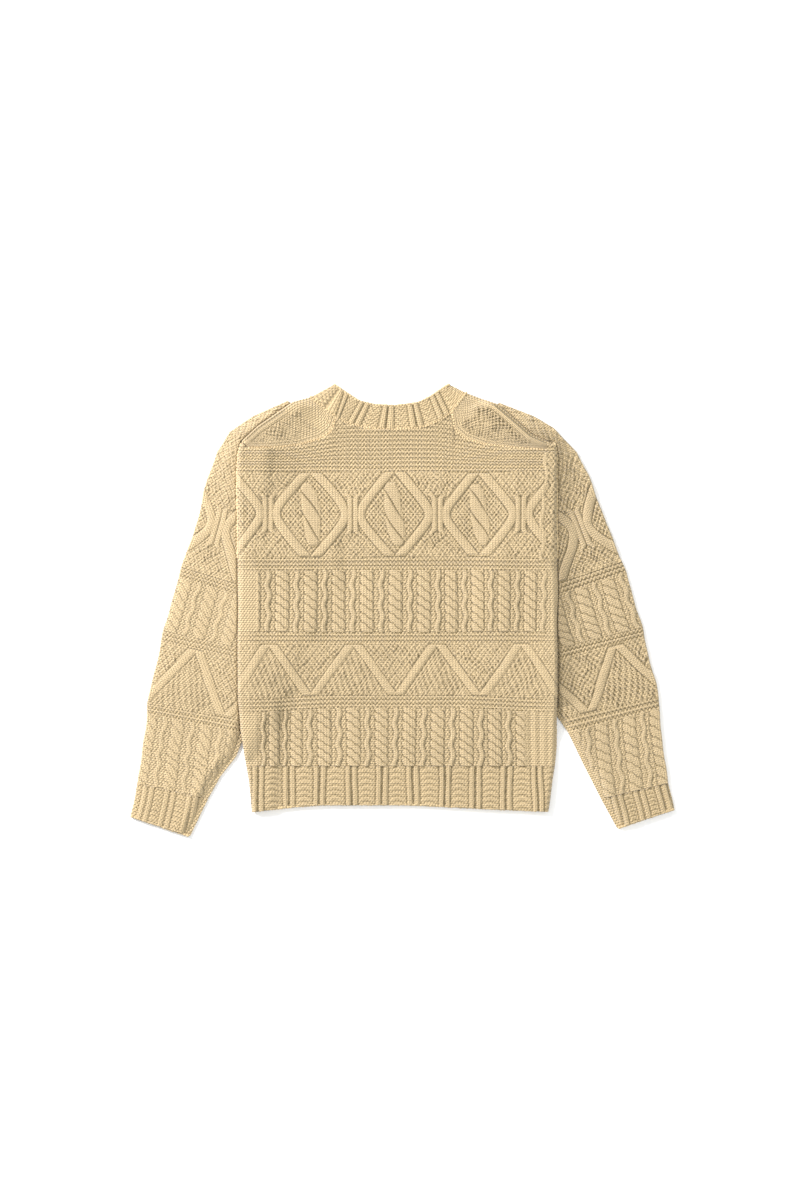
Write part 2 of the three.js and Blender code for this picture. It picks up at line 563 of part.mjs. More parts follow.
const ringPoint = (side, { outerX, outerY, innerX, innerY }, u, t, z) => {
  return { u, x: side * lerp(outerX, innerX, t), y: lerp(outerY, innerY, t), z };
};

function tubeHollow(side, section, at) {
  const width = Math.hypot(section.outerX - section.innerX, section.outerY - section.innerY);
  const ring = [
    [0, WALL, MIDDLE], [0.03, TURN, TUBE - WALL], [0.25, width / 2, TUBE - WALL],
    [0.47, width - TURN, TUBE - WALL], [0.5, width - WALL, MIDDLE], [0.53, width - TURN, WALL],
    [0.75, width / 2, WALL], [0.97, TURN, WALL],
  ];
  return { at, points: ring.map(([u, a, z]) => ringPoint(side, section, u, a / width, z)) };
}

const ENDS = ["outerX", "outerY", "innerX", "innerY"];
const between = (a, b, t) => Object.fromEntries(ENDS.map((key) => [key, lerp(a[key], b[key], t)]));

// The bands along a tube, with the sections that each one runs over, and how far its motifs are shifted.
function bandsOf(sections, motifs, from, to) {
  const bands = [];
  for (let i = from; i < to; i++) {
    const { part } = sections[i];
    const knitted = SLEEVE_BANDS[part];
    const shift = knitted.band ? knitted.band.centre - motifs[part] : 0;
    if (bands.at(-1)?.part === part) bands.at(-1).past = i + 1;
    else bands.push({ part, first: i, past: i + 1, shift, ...knitted });
  }
  return bands;
}

// The rings of the sections from one row of the table to another.
function tube(side, sections, motifs, from, to) {
  const outer = [];
  const addRing = (place, row) => {
    const i = Math.min(Math.floor(place), to - 1);
    outer.push(tubeRing(side, between(sections[i], sections[i + 1], place - i), place, row));
  };
  const bands = bandsOf(sections, motifs, from, to);
  addRing(from, { ...bands[0], v: 0, ridge: 0 });
  bands.forEach((run, n) => {
    const { first, past, rows, kind, ridge = 0 } = run;
    rows.slice(1).forEach((v, i) => {
      const border = kind === "plain" && v === 1 && bands[n + 1];
      const row = border ? { ...border, v: 0, ridge: 0 } : { ...run, v, ridge: i % 2 ? 0 : ridge };
      addRing(lerp(first, past, v), row);
    });
  });
  const inner = sections.slice(from, to + 1).map((section, i) => tubeHollow(side, section, from + i));
  return wall(outer, inner, { ring: true });
}

function sleeveAndCuff(side, sections, motifs) {
  const cuff = sections.findIndex((s) => s.part === "cuff");
  const [last, first] = [sections[cuff - 1], sections[cuff]];
  const gap = SEAM / Math.hypot(last.outerX - first.outerX, last.outerY - first.outerY);
  const sleeveEnd = { ...between(first, last, gap), part: "cuff" };
  const sleeve = [...sections.slice(0, cuff), sleeveEnd];
  return [tube(side, sleeve, motifs, 0, cuff), tube(side, sections, motifs, cuff, sections.length - 1)];
}

// A shoulder strap, folded over the shoulder line. Each section runs from the back seam to the fold and on,
// underneath, to the front seam.
function saddle(sections) {
  const rows = [];
  const hollow = [];
  evenly(2 * (sections.length - 1)).forEach((t) => {
    const place = t * (sections.length - 1);
    const i = Math.min(Math.floor(place), sections.length - 2);
    const s = Object.fromEntries(
      Object.keys(sections[0]).map((key) => [key, lerp(sections[i][key], sections[i + 1][key], place - i)]),
    );
    const end = t === 0 ? 1 : t === 1 ? -1 : 0;
    const across = (toX, toY, inward, z) => {
      const length = Math.hypot(toX - s.foldX, toY - s.foldY);
      const x = lerp(s.foldX, toX, inward / length) + Math.sign(s.foldX) * end * STRAP_GAP.x;
      const y = lerp(s.foldY, toY, inward / length) - end * STRAP_GAP.y;
      return { x, y, z: z + liftAt(x, y) };
    };
    const toBack = (inward, z) => across(s.backX, s.backY, inward, z);
    const toFront = (inward, z) => across(s.frontX, s.frontY, inward, z);
    const back = Math.hypot(s.backX - s.foldX, s.backY - s.foldY);
    const front = Math.hypot(s.frontX - s.foldX, s.frontY - s.foldY);
    const turn = Math.min(TURN, back / 2);
    const curve = turn * 0.3;
    const bend = MIDDLE * roundness(curve, turn);
    const edge = t > 0.3 && t < 1 ? RIDGE : 0;
    const outer = [
      ...[1, 0.75, 0.5, 0.25].map((f) => toBack(lerp(turn, back, f), TUBE + (f === 0.25 ? edge : 0))),
      toBack(turn, TUBE), toBack(curve, MIDDLE + bend), toBack(0, MIDDLE), toFront(curve, MIDDLE - bend),
      ...[0, 0.25, 0.5, 0.75, 1].map((f) => toFront(lerp(turn, front, f), 0)),
    ];
    const inner = [
      ...[1, 0.75, 0.5, 0.25, 0].map((f) => toBack(lerp(turn, back, f), TUBE - WALL)),
      toBack(Math.min(WALL, turn * 0.75), MIDDLE),
      ...[0, 0.25, 0.5, 0.75, 1].map((f) => toFront(lerp(turn, front, f), WALL)),
    ];
    const numbered = (points) => points.map((p, k) => ({ u: k / (points.length - 1), ...p }));
    rows.push({ at: t, points: numbered(outer) });
    hollow.push({ at: t, points: numbered(inner) });
  });
  return wall(rows, hollow);
}

// Follows one half of the neckband, and finds its section at a distance along the free edge.
function half(sections) {
  const step = (s, i) => Math.hypot(s.edgeX - sections[i].edgeX, s.edgeY - sections[i].edgeY);
  const lengths = sections.slice(1).map(step);
  const total = lengths.reduce((sum, length) => sum + length, 0);
  const at = (distance) => {
    let [i, rest] = [0, distance];
    for (; i < lengths.length - 1 && rest > lengths[i]; i++) rest -= lengths[i];
    const t = rest / lengths[i];
    const keys = Object.keys(sections[0]);
    return Object.fromEntries(keys.map((key) => [key, lerp(sections[i][key], sections[i + 1][key], t)]));
  };
  return { total, at };
}

// The neckband: a ring, folded flat at both shoulders, with pairs of ribs on the back half.
function neckband() {
  const [upper, under] = [half(NECK_BACK), half([NECK_BACK.at(-1), ...NECK_FRONT, NECK_BACK[0]])];
  const around = upper.total + under.total;
  const onBack = (distance, z, raised = 0) => {
    return { at: distance / around, section: upper.at(distance), z, raised };
  };
  const onFront = (distance, z) => {
    return { at: (upper.total + distance) / around, section: under.at(distance), z, raised: 0 };
  };
  const columns = Math.round((upper.total * NECK_RIBS.columns) / NECK_RIBS.pitch);
  const backSteps = evenly(columns).map((t) => lerp(TURN, upper.total - TURN, t));
  const frontSteps = evenly(16).map((t) => lerp(TURN, under.total - TURN, t));
  const rise = (i) => ([2, 4].includes(i % NECK_RIBS.columns) ? NECK_RIBS.rise : 0);
  const outer = [
    onBack(0, MIDDLE), onBack(CURVE, MIDDLE + BEND),
    ...backSteps.map((distance, i) => onBack(distance, TUBE, rise(i))),
    onBack(upper.total - CURVE, MIDDLE + BEND), onBack(upper.total, MIDDLE), onFront(CURVE, MIDDLE - BEND),
    ...frontSteps.map((distance) => onFront(distance, 0)),
    onFront(under.total - CURVE, MIDDLE - BEND),
  ];
  const inner = [
    onBack(WALL, MIDDLE),
    ...backSteps.map((distance) => onBack(distance, TUBE - WALL)),
    onBack(upper.total - WALL, MIDDLE),
    ...frontSteps.map((distance) => onFront(distance, WALL)),
  ];
  const across = ({ edgeX, edgeY, seamX, seamY }, t, z) => {
    const [x, y] = [lerp(edgeX, seamX, t), lerp(edgeY, seamY, t)];
    return { u: t, x, y, z: z + liftAt(x, y) };
  };
  const crest = (t, raised) => (t > 0 && t < 1 ? raised : 0);
  const rows = (sections, ts) =>
    sections.map(({ at, section, z, raised }) => ({
      at,
      points: ts.map((t) => across(section, t, z + crest(t, raised))),
    }));
  return wall(rows(outer, [0, 0.1, 0.9, 1]), rows(inner, [0, 1]), { loop: true });
}

const sweater = new THREE.Group();
const body = new THREE.Group();
body.add(
  piece("front", front()),
  piece("back", back()),
  piece("hem_rib_front", hemRib(LAYERS.front, false)),
  piece("hem_rib_back", hemRib(LAYERS.back, true)),
  piece("saddle_left", saddle(LEFT_SADDLE)),
  piece("saddle_right", saddle(RIGHT_SADDLE)),
  piece("neckband", neckband()),
);
sweater.add(body);

const ARMS = [
  { name: "left", side: LEFT, sections: LEFT_SLEEVE, motifs: LEFT_MOTIFS },
  { name: "right", side: RIGHT, sections: RIGHT_SLEEVE, motifs: RIGHT_MOTIFS },
];
for (const { name, side, sections, motifs } of ARMS) {
  const [sleeve, cuff] = sleeveAndCuff(side, sections, motifs);
  const arm = new THREE.Group();
  arm.add(piece("sleeve_" + name, sleeve), piece("cuff_" + name, cuff));
  sweater.add(arm);
}

// The origin is the middle of the sweater's outline, on the surface it lies on.
const outline = new THREE.Box3().setFromObject(sweater);
const centre = outline.getCenter(new THREE.Vector3());
sweater.children.forEach((group) => group.position.set(-centre.x, -centre.y, 0));

export default sweater;
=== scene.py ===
"""A cable knit sweater, laid flat on its front, with its sleeves tucked under the sides of its body.

Sizes are in millimetres from the centre of the back, as a maker measures them. Each mesh is made in metres.
x runs across, y towards the neck, and z = 0 is the surface that the sweater lies on.
"""
import math

import bpy
import numpy as np
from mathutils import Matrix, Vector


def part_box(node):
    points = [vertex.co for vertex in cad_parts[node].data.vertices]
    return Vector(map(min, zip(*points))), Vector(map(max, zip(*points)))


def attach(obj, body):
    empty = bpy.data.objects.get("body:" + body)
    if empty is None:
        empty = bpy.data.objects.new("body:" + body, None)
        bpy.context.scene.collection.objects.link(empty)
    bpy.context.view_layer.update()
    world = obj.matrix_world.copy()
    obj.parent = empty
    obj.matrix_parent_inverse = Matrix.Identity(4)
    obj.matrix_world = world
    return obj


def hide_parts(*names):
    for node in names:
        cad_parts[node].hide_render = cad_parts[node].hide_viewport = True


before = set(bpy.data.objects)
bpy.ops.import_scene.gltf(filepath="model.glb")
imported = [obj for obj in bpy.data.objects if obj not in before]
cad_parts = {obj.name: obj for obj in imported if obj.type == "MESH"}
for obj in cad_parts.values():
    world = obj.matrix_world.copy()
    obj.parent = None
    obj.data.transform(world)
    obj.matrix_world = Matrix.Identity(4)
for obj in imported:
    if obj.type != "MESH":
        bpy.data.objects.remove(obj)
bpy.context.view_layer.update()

MM = 0.001
back_low, back_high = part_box("back")
CENTRE_SHIFT = -(back_low.x + back_high.x) / 2 / MM  # the solids' origin is the middle of the whole outline
BODY_WIDTH = (back_high.x - back_low.x) / MM
LEFT, RIGHT = -1, 1
ROOT = "root"

# Cloth, as in the solids
WALL = 3.0
LAYER_GAP = 0.6
SEAM = 0.35
TOUCHING = 0.05  # between two pieces whose knitting runs on from one to the other
TUBE = 2 * WALL + LAYER_GAP
MIDDLE = TUBE / 2
LIFT = TUBE + SEAM  # what a sleeve under the body raises it by
SHORT_RAMP = 24  # how far the body takes to come down beside the end of a sleeve
RAMP_MARGIN = 4  # how far before the hidden edge of a sleeve that begins
TURN = 6  # from a fold to where the cloth lies flat
BULGE = 3.2  # how much higher the sides of the body stand, and the sleeves beside them

# Knitting
STITCH = 4.6  # width of one stitch
ROW = 3.3  # height of one row
GARTER = 6.6  # from one garter ridge to the next
RIDGE = 1.6  # how high a garter ridge stands
WAVE = 6.4  # from one small wave in the valley of a garter ridge to the next
CORD = 3.0  # how high a cord, cable or rib stands at most
GRID = 1.3  # spacing of the points that carry the raised stitches

# Bands of the body, from the neck down
YOKE_TOP = 253
YOKE_SIDES = 243  # where its upper edge meets the folded sides
YOKE_END = 207
HEM_START = -234
HEM_END = -300
PITCH = 42.5  # from one cable to the next
MOTIF = 126  # from one diamond or triangle to the next
DIAMOND_BAND = 127.5
DIAMOND_SIDE = 51  # from a diamond's middle to the cord at its side
DIAMOND_TIP = 7  # the same at its upper and lower ends
DIAMOND_CORNER = 13  # how round the side is
ZIGZAG_BAND = 78
HEM_RIBS = 46.6  # from one pair of ribs to the next
CUFF_RIBS = 34
NECK_RIBS = 35.5


def table(names, rows):
    """Columns by name, from rows that are written one after another."""
    return {name: np.array(column) for name, column in zip(names.split(), zip(*rows))}


SIDES = table("y left right", [
    (-310, 216, 226), (-234, 228, 236), (-202, 232, 238.5), (-180, 236, 240),
    (-135, 240, 240), (233, 240, 240), (245, 237.5, 238), (253.5, 233, 231),
])
RAMPS = table("y width", [(-234, SHORT_RAMP), (-150, 60), (275, 60), (310, 36)])
BACK_TOP = table("x y", [
    (-233, 253.5), (-226, 243), (-190, 243), (-146, 247.5), (-112, 257), (-98, 268), (-92, 288),
    (-79, 281), (-49, 273), (-4, 270), (41, 274.5), (64, 284), (82, 297), (86, 270), (100, 257),
    (130, 248), (176, 243), (221, 240), (231, 250),
])
FRONT_TOP = table("x y", [
    (-233, 253.5), (-226, 243), (-190, 243), (-146, 247.5), (-124, 253), (-116, 270), (-108, 252),
    (-84, 236), (-48, 227), (-4, 224), (40, 227), (76, 236), (95, 254), (102, 274), (112, 254),
    (130, 248), (176, 243), (221, 240), (231, 250),
])
HEM_EDGE = table("x y", [
    (-230, -303), (-217, -303), (-170, -297), (-116, -292.5), (19, -292.5), (79, -295.5), (139, -298.5),
    (230, -302.5),
])

# Sections across each sleeve, from shoulder to cuff: the outer fold, and the inner one under the body.
LEFT_SLEEVE = table("part outer_x outer_y inner_x inner_y", [
    ("cap", 166, 314, 152, 305), ("cap", 217, 291, 192, 268), ("cap", 253, 267, 205, 246),
    ("cap", 272, 237, 204, 212), ("diamonds", 284, 202, 196, 172), ("diamonds", 296, 157, 176, 122),
    ("diamonds", 308, 112, 155, 66), ("ridges", 325, 64.5, 142, 9), ("cables", 329, 50, 143, -8),
    ("ridges", 352, -30, 177, -70), ("zigzag", 355, -46.5, 186, -85), ("ridges", 376, -139.5, 222, -167),
    ("lower_cables", 377, -155, 229, -185), ("lower_cables", 382, -198, 242, -220),
    ("lower_cables", 385, -225, 265, -249), ("cuff", 391, -259.5, 284, -283),
    ("end", 402, -310.5, 311, -339),
])
RIGHT_SLEEVE = table("part outer_x outer_y inner_x inner_y", [
    ("cap", 154, 311, 140, 302), ("cap", 205, 291, 180, 264), ("cap", 235, 273, 199, 245),
    ("cap", 269, 237, 203, 210), ("diamonds", 287, 202, 196, 170), ("diamonds", 304, 157, 176, 117),
    ("diamonds", 322, 112, 156, 60), ("ridges", 337, 72, 149, 8), ("cables", 343, 57, 151, -10),
    ("ridges", 368, -25.5, 178, -73), ("zigzag", 371, -40.5, 188, -88), ("ridges", 392, -129, 242, -163),
    ("lower_cables", 394, -147, 256, -184), ("lower_cables", 398, -202, 278, -230),
    ("cuff", 407, -259.5, 305, -283), ("end", 416, -300, 329, -327),
])
FOLDS = ("outer_x", "outer_y", "inner_x", "inner_y")

# Sections across each shoulder strap, from neckband to tip: the fold, and the seams to back and front.
LEFT_STRAP = table("fold_x fold_y back_x back_y front_x front_y", [
    (-130, 319.5, -92, 288, -116, 270), (-143, 316, -98, 268, -120, 261.5),
    (-157, 312, -112, 257, -124, 253), (-184, 293, -146, 247.5, -146, 247.5),
    (-210, 275, -190, 243, -190, 243), (-233, 253.5, -226, 243, -226, 243),
])
RIGHT_STRAP = table("fold_x fold_y back_x back_y front_x front_y", [
    (103, 325.5, 82, 297, 102, 274), (126, 317, 86, 270, 107, 264), (149, 309, 100, 257, 112, 254),
    (176, 286, 130, 248, 130, 248), (203, 262, 176, 243, 176, 243), (231, 250, 221, 240, 221, 240),
])

# Sections across the neckband, once round: its free edge, and the edge that is sewn to the body.
NECK = table("edge_x edge_y seam_x seam_y", [
    (-94, 339, -130, 319.5), (-79, 328.5, -92, 288), (-59, 315, -79, 281), (-34, 309, -49, 273),
    (-4, 307.5, -4, 270), (31, 312, 41, 274.5), (49, 321, 64, 284), (64, 331.5, 82, 297),
    (76, 339, 103, 325.5), (72, 312, 102, 274), (66, 290, 95, 254), (56, 272, 76, 236),
    (30, 262, 40, 227), (-4, 259, -4, 224), (-38, 262, -48, 227), (-66, 272, -84, 236),
    (-78, 290, -108, 252), (-87, 312, -116, 270), (-94, 339, -130, 319.5),
])
NECK_FOLD = 8  # the row of NECK where the back half ends


def mix(a, b, t):
    return a + (b - a) * t


def smooth(t):
    t = np.clip(t, 0, 1)
    return t * t * (3 - 2 * t)


def to_nearest(x, pitch, centre):
    """How far x is past the nearest of a row of places."""
    return x - centre - pitch * np.round((x - centre) / pitch)


def mound(distance, half):
    """A round crest, 1 in the middle and 0 from half its width on."""
    return np.sqrt(np.clip(1 - (distance / half) ** 2, 0, 1))


def wobble(x, y, length, seed):
    """Slow, uneven change between -1 and 1, such as hand knitting has."""
    rng = np.random.default_rng(seed)
    turns, phases, stretches = rng.uniform(0, 6.28, 5), rng.uniform(0, 6.28, 5), rng.uniform(0.7, 1.5, 5)
    total = 0
    for turn, phase, stretch in zip(turns, phases, stretches):
        along = x * math.cos(turn) + y * math.sin(turn)
        total = total + np.sin(2 * math.pi * along / (length * stretch) + phase)
    return total / 3


# Knitted patterns: how high the stitches stand at x across and y down from the pattern's upper edge
def garter(x, y):
    """Ridges of purl stitches. The valleys between them run in small waves."""
    waves = 1.3 * np.sin(2 * math.pi * x / WAVE)
    crest = 0.5 - 0.5 * np.cos(2 * math.pi * (y + waves) / GARTER)
    return RIDGE * crest


def dots(x, y, across, down):
    """Round stitches with pits between them, every other row shifted. Some stand higher than others."""
    checks = np.cos(2 * math.pi * x / across) * np.cos(2 * math.pi * y / down)
    stitch = np.round(2 * x / across)
    row = np.round(2 * y / down)
    scattered = np.abs(np.sin(12.9898 * stitch + 78.233 * row)) * 437.58
    chance = np.modf(scattered)[0]  # between 0 and 1, the same each time for one stitch
    return smooth(0.5 + 0.7 * checks) * (0.55 + 0.75 * chance)


def seeds(x, y):
    """Single moss stitch, in even rows of dots."""
    across = x + 0.8 * wobble(x, y, 34, 11)
    down = y + 0.7 * wobble(y, x, 37, 17)
    return 0.3 + 1.6 * dots(across, down, 6.9, 8.2)


def moss(x, y):
    """Double moss stitch: taller blocks in clumps, less regular than seeds."""
    x = x + 2.2 * wobble(x, y, 27, 3)
    y = y + 2.0 * wobble(y, x, 32, 4)
    clumps = dots(x + 4 * wobble(y, x, 40, 22), y, 15, 17)
    return (1.0 + 0.9 * clumps) * dots(x, y, 7.3, 8.9) + 0.3 * clumps + 0.3


def purl(x, y):
    """The ground that cords and cables stand on."""
    return 0.4 + 0.4 * np.cos(2 * math.pi * x / STITCH) * np.cos(math.pi * y / ROW)


def beside(distance, half):
    """The ground sinks where it meets a cord."""
    return smooth((np.abs(distance) - half) / 3)


def braid(x, y, half, crossing, rise):
    """A cable of tight strands: a round band with a slanting groove wherever two of them cross."""
    bent = x + 0.12 * half * np.sin(2 * math.pi * x / half)
    from_groove = np.abs(to_nearest(y - 0.8 * bent + 1.2 * wobble(x, y, 45, 25), crossing, 0))
    groove = smooth(1 - from_groove / 3.4)
    band = np.clip(1 - np.abs(x / (half + 0.6 - 2.2 * groove)) ** 2.8, 0, 1) ** 0.5
    return rise * band * (1 - 0.5 * groove)


def twisted(x, y, half, rise):
    """Two thick strands wound round each other, which run down to the right."""
    slope, crossing = 1.7, 40
    from_groove = np.abs(to_nearest(y - slope * x, crossing, crossing / 2)) / math.hypot(slope, 1)
    groove = smooth(1 - from_groove / 3)
    band = np.clip(1 - np.abs(x / half) ** 3, 0, 1) ** 0.5
    return rise * band * (1 - 0.6 * groove)


def diamonds(x, y):
    """Lozenges of cord on moss stitch, each with a twist in it, and a short double rib between two."""
    down = y - DIAMOND_BAND / 2
    from_middle = to_nearest(x, MOTIF, -4)
    across = np.abs(from_middle)

    rounded = np.sqrt(down**2 + DIAMOND_CORNER**2)
    lean = (DIAMOND_SIDE - DIAMOND_TIP) / (DIAMOND_BAND / 2 - DIAMOND_CORNER)
    line = DIAMOND_SIDE - lean * (rounded - DIAMOND_CORNER)
    from_cord = (across - line) / np.sqrt(1 + (lean * down / rounded) ** 2)
    cord = 2.8 * mound(from_cord, 6.8)
    cord = cord * smooth(across / 1.8) * smooth((DIAMOND_BAND / 2 - np.abs(down)) / 5)

    leaning = from_middle - 0.12 * down + 1.2 * wobble(x, y, 60, 23)
    half = 2.5 + 11.5 * mound(down, 50)
    twist = twisted(leaning, down + 5 * wobble(x, 0 * y, 120, 24), half, 3.3)
    twist = twist * smooth((-6 - from_cord) / 3) * smooth((50 - np.abs(down)) / 8)

    from_rib = MOTIF / 2 - across
    apart = 4.3 + 0.09 * np.clip(np.abs(down) - 21, 0, None) ** 2
    double_rib = 2.6 * mound(from_rib - apart, 4.2) * smooth((31 - np.abs(down)) / 4)

    beside_rib = (from_rib < 14) & (np.abs(down) < 28)
    beside_twist = np.abs(leaning) < 14 * mound(down, 48)
    inside = np.where(beside_twist, 0, seeds(x, down))
    outside = np.where(beside_rib, purl(x, y), moss(x, y))
    ground = np.where(from_cord < 0, inside, outside) * beside(from_cord, 6.4)
    return np.maximum.reduce([cord, twist, double_rib, ground])


def cables(x, y, centre=-3, crossing=14, rise=2.8, hand=1):
    """Cables, a cord that snakes down between two of them, and a column of small stitches beside each."""
    from_cable = to_nearest(x, PITCH, centre)
    cable = braid(hand * from_cable, y, 9.6, crossing, rise)
    swing = 1.9 * np.sin(2 * math.pi * y / 31)
    snake = rise * mound(to_nearest(x - swing, PITCH, centre + PITCH / 2), 3.9)
    column = 1.0 * smooth(0.5 + np.cos(2 * math.pi * y / 6.6 + 2 * np.sign(from_cable)))
    column = column * mound(np.abs(from_cable) - 13.6, 2.4)
    return np.maximum.reduce([cable, snake, column, purl(x, y) * beside(from_cable, 10)])


def zigzag(x, y):
    """A cord that runs up and down, with triangles of seeds under it and of moss stitch over it."""
    across = np.abs(to_nearest(x, MOTIF, -3))
    line = mix(MOTIF / 2 - 3.5, 4, y / ZIGZAG_BAND)
    from_cord = (across - line) * 0.81  # square to the cord, which leans
    cord = 2.3 * mound(from_cord, 6.3) * smooth(y / 5) * smooth((ZIGZAG_BAND + 1 - y) / 5)
    fields = np.where(from_cord > 0, seeds(x + 0.3 * y, 0.68 * (y + 0.4 * x)), moss(x, y))
    return np.maximum(cord, fields * beside(from_cord, 5.6))


def ribs(x, y, pitch, centre, rise=2.3):
    """Pairs of ribs, with stacked arcs between them."""
    across = to_nearest(x, pitch, centre)
    pair = rise * mound(np.abs(across) - 5.2, 3.8)
    between = pitch / 2 - np.abs(across)
    half = pitch / 2 - 10.5
    bend = 1.6 * np.cos(math.pi * between / half) + 0.8 * wobble(x, y, 35, 14)
    arcs = 0.62 + 0.38 * np.cos(2 * math.pi * (y + bend) / 8.6)
    column = 0.8 * rise * arcs * mound(between, half)
    return np.maximum(pair, column)


def back_bands(x, y):
    """The stitches of the back and the front below the yoke. Bands of cables turn plain near the folds."""
    at_edges = np.maximum(smooth((-206 - x) / 9), smooth((x - 226) / 9))
    sag = 6 * smooth((np.abs(x) - 90) / 140) * smooth((-60 - y) / 60)
    x = x + 1.1 * wobble(x, y, 130, 1)
    y = y + sag + 1.3 * wobble(x, y, 150, 2)
    plain = purl(x, y) + 0.5
    narrow_ribs = 1.1 * mound(to_nearest(x, 13, 205), 4.5) + purl(x, y)
    crowded_right = x + 0.076 * np.clip(x - 60, 0, None)
    crowded_left = x + 0.28 * np.clip(x + 150, None, 0)

    def upper_cables(_, down):
        return mix(cables(crowded_right, down), plain, at_edges)

    def lower_cables(_, down):
        knitted = mix(cables(crowded_left, down, 18, 13), plain, at_edges)
        return np.where(x > 192, narrow_ribs, knitted)

    height = np.zeros_like(x)
    upper = YOKE_END
    for size, knitted in (
        (DIAMOND_BAND, diamonds), (19.5, garter), (93, upper_cables), (16.5, garter),
        (ZIGZAG_BAND, zigzag), (19.5, garter), (200, lower_cables),
    ):
        height = np.where((y <= upper) & (y > upper - size), knitted(x, upper - y), height)
        upper -= size
    return height


def yoke(x, y):
    """Garter ridges that sag towards the sides and run out into the seams of the straps."""
    sag = 17 * smooth((np.abs(x + 4) - 55) / 115) * smooth((y - YOKE_END) / 40)
    level = y + sag + 1.3 * wobble(x, y, 120, 5)
    return garter(x, YOKE_TOP + 40 - level)


def back_height(x, y):
    """All stitches of the back. They flatten a little towards the folded sides."""
    knitted = np.where(y > YOKE_END, yoke(x, y), back_bands(x, y))
    knitted = knitted * mix(1, 0.55, smooth((np.abs(x) - 208) / 22) * smooth((95 - y) / 40))
    wavy = 218 + 0.05 * (y - 150) + 1.8 * np.sin(2 * math.pi * y / 47) + 1.6 * wobble(y, x, 60, 13)
    armhole_rows = (y > 74) & (y < 236)
    knitted = np.where(armhole_rows & (x > wavy), moss(x, y), knitted)
    return np.maximum(knitted, 2.2 * mound(x - wavy, 3.0) * armhole_rows)


def neck_ribs(x, y):
    """Pairs of ribs that run from the free edge of the neckband to its seam."""
    across = to_nearest(x, NECK_RIBS, 89)
    pair = 2.0 * mound(np.abs(across) - 4.4, 3.5)
    between = NECK_RIBS / 2 - np.abs(across)
    bend = 0.9 * between + 1.6 * wobble(x, y, 24, 18)
    arcs = 0.6 + 0.4 * np.cos(2 * math.pi * (y + bend) / 7.5)
    return np.maximum(pair, (1.2 + 0.3 * wobble(x, y, 20, 19)) * arcs * mound(between, 8.5))


def sleeve_knitting(hand, cable_at, lower_cable_at, diamond_at, triangle_at, rib_at):
    """Each band down a sleeve: how long it is, and its stitches from the outer fold inwards."""
    return {
        "cap": (110, lambda x, y: moss(x, y) + 0.2),
        "diamonds": (DIAMOND_BAND, lambda x, y: diamonds(x - diamond_at - 4, y)),
        "ridges": (2.5 * GARTER, garter),
        "cables": (80, lambda x, y: cables(x - cable_at - 3, y, rise=2.2, hand=hand)),
        "zigzag": (ZIGZAG_BAND, lambda x, y: zigzag(x - triangle_at + MOTIF / 2 - 3, y)),
        "lower_cables": (105, lambda x, y: cables(x - lower_cable_at - 3, y, rise=2.1, hand=hand)),
        "cuff": (60, lambda x, y: ribs(x, y, CUFF_RIBS, rib_at, 1.9)),
    }


LEFT_KNITTING = sleeve_knitting(
    hand=1, cable_at=54, lower_cable_at=48, diamond_at=-29, triangle_at=54, rib_at=18,
)
RIGHT_KNITTING = sleeve_knitting(
    hand=-1, cable_at=30, lower_cable_at=48, diamond_at=-23, triangle_at=45, rib_at=12,
)


# Finishes
def node(tree, kind, inputs=(), **settings):
    """A new node. inputs: a value or a link for each of its first sockets, or for sockets by name.

    None leaves a socket as it is.
    """
    made = tree.nodes.new(kind)
    for key, value in settings.items():
        setattr(made, key, value)
    for key, value in inputs.items() if isinstance(inputs, dict) else enumerate(inputs):
        if isinstance(value, bpy.types.NodeSocket):
            tree.links.new(value, made.inputs[key])
        elif value is not None:
            made.inputs[key].default_value = value
    return made


def calculate(tree, operation, *inputs):
    return node(tree, "ShaderNodeMath", inputs, operation=operation).outputs[0]


def effect(name, inputs, outputs):
    """A shader node group with its sockets, and its own ends."""
    tree = bpy.data.node_groups.new(name, "ShaderNodeTree")
    for label, kind, value in inputs:
        socket = tree.interface.new_socket(label, in_out="INPUT", socket_type=kind)
        if value is not None:
            socket.default_value = value
    for label, kind in outputs:
        tree.interface.new_socket(label, in_out="OUTPUT", socket_type=kind)
    return tree, tree.nodes.new("NodeGroupInput").outputs, tree.nodes.new("NodeGroupOutput").inputs


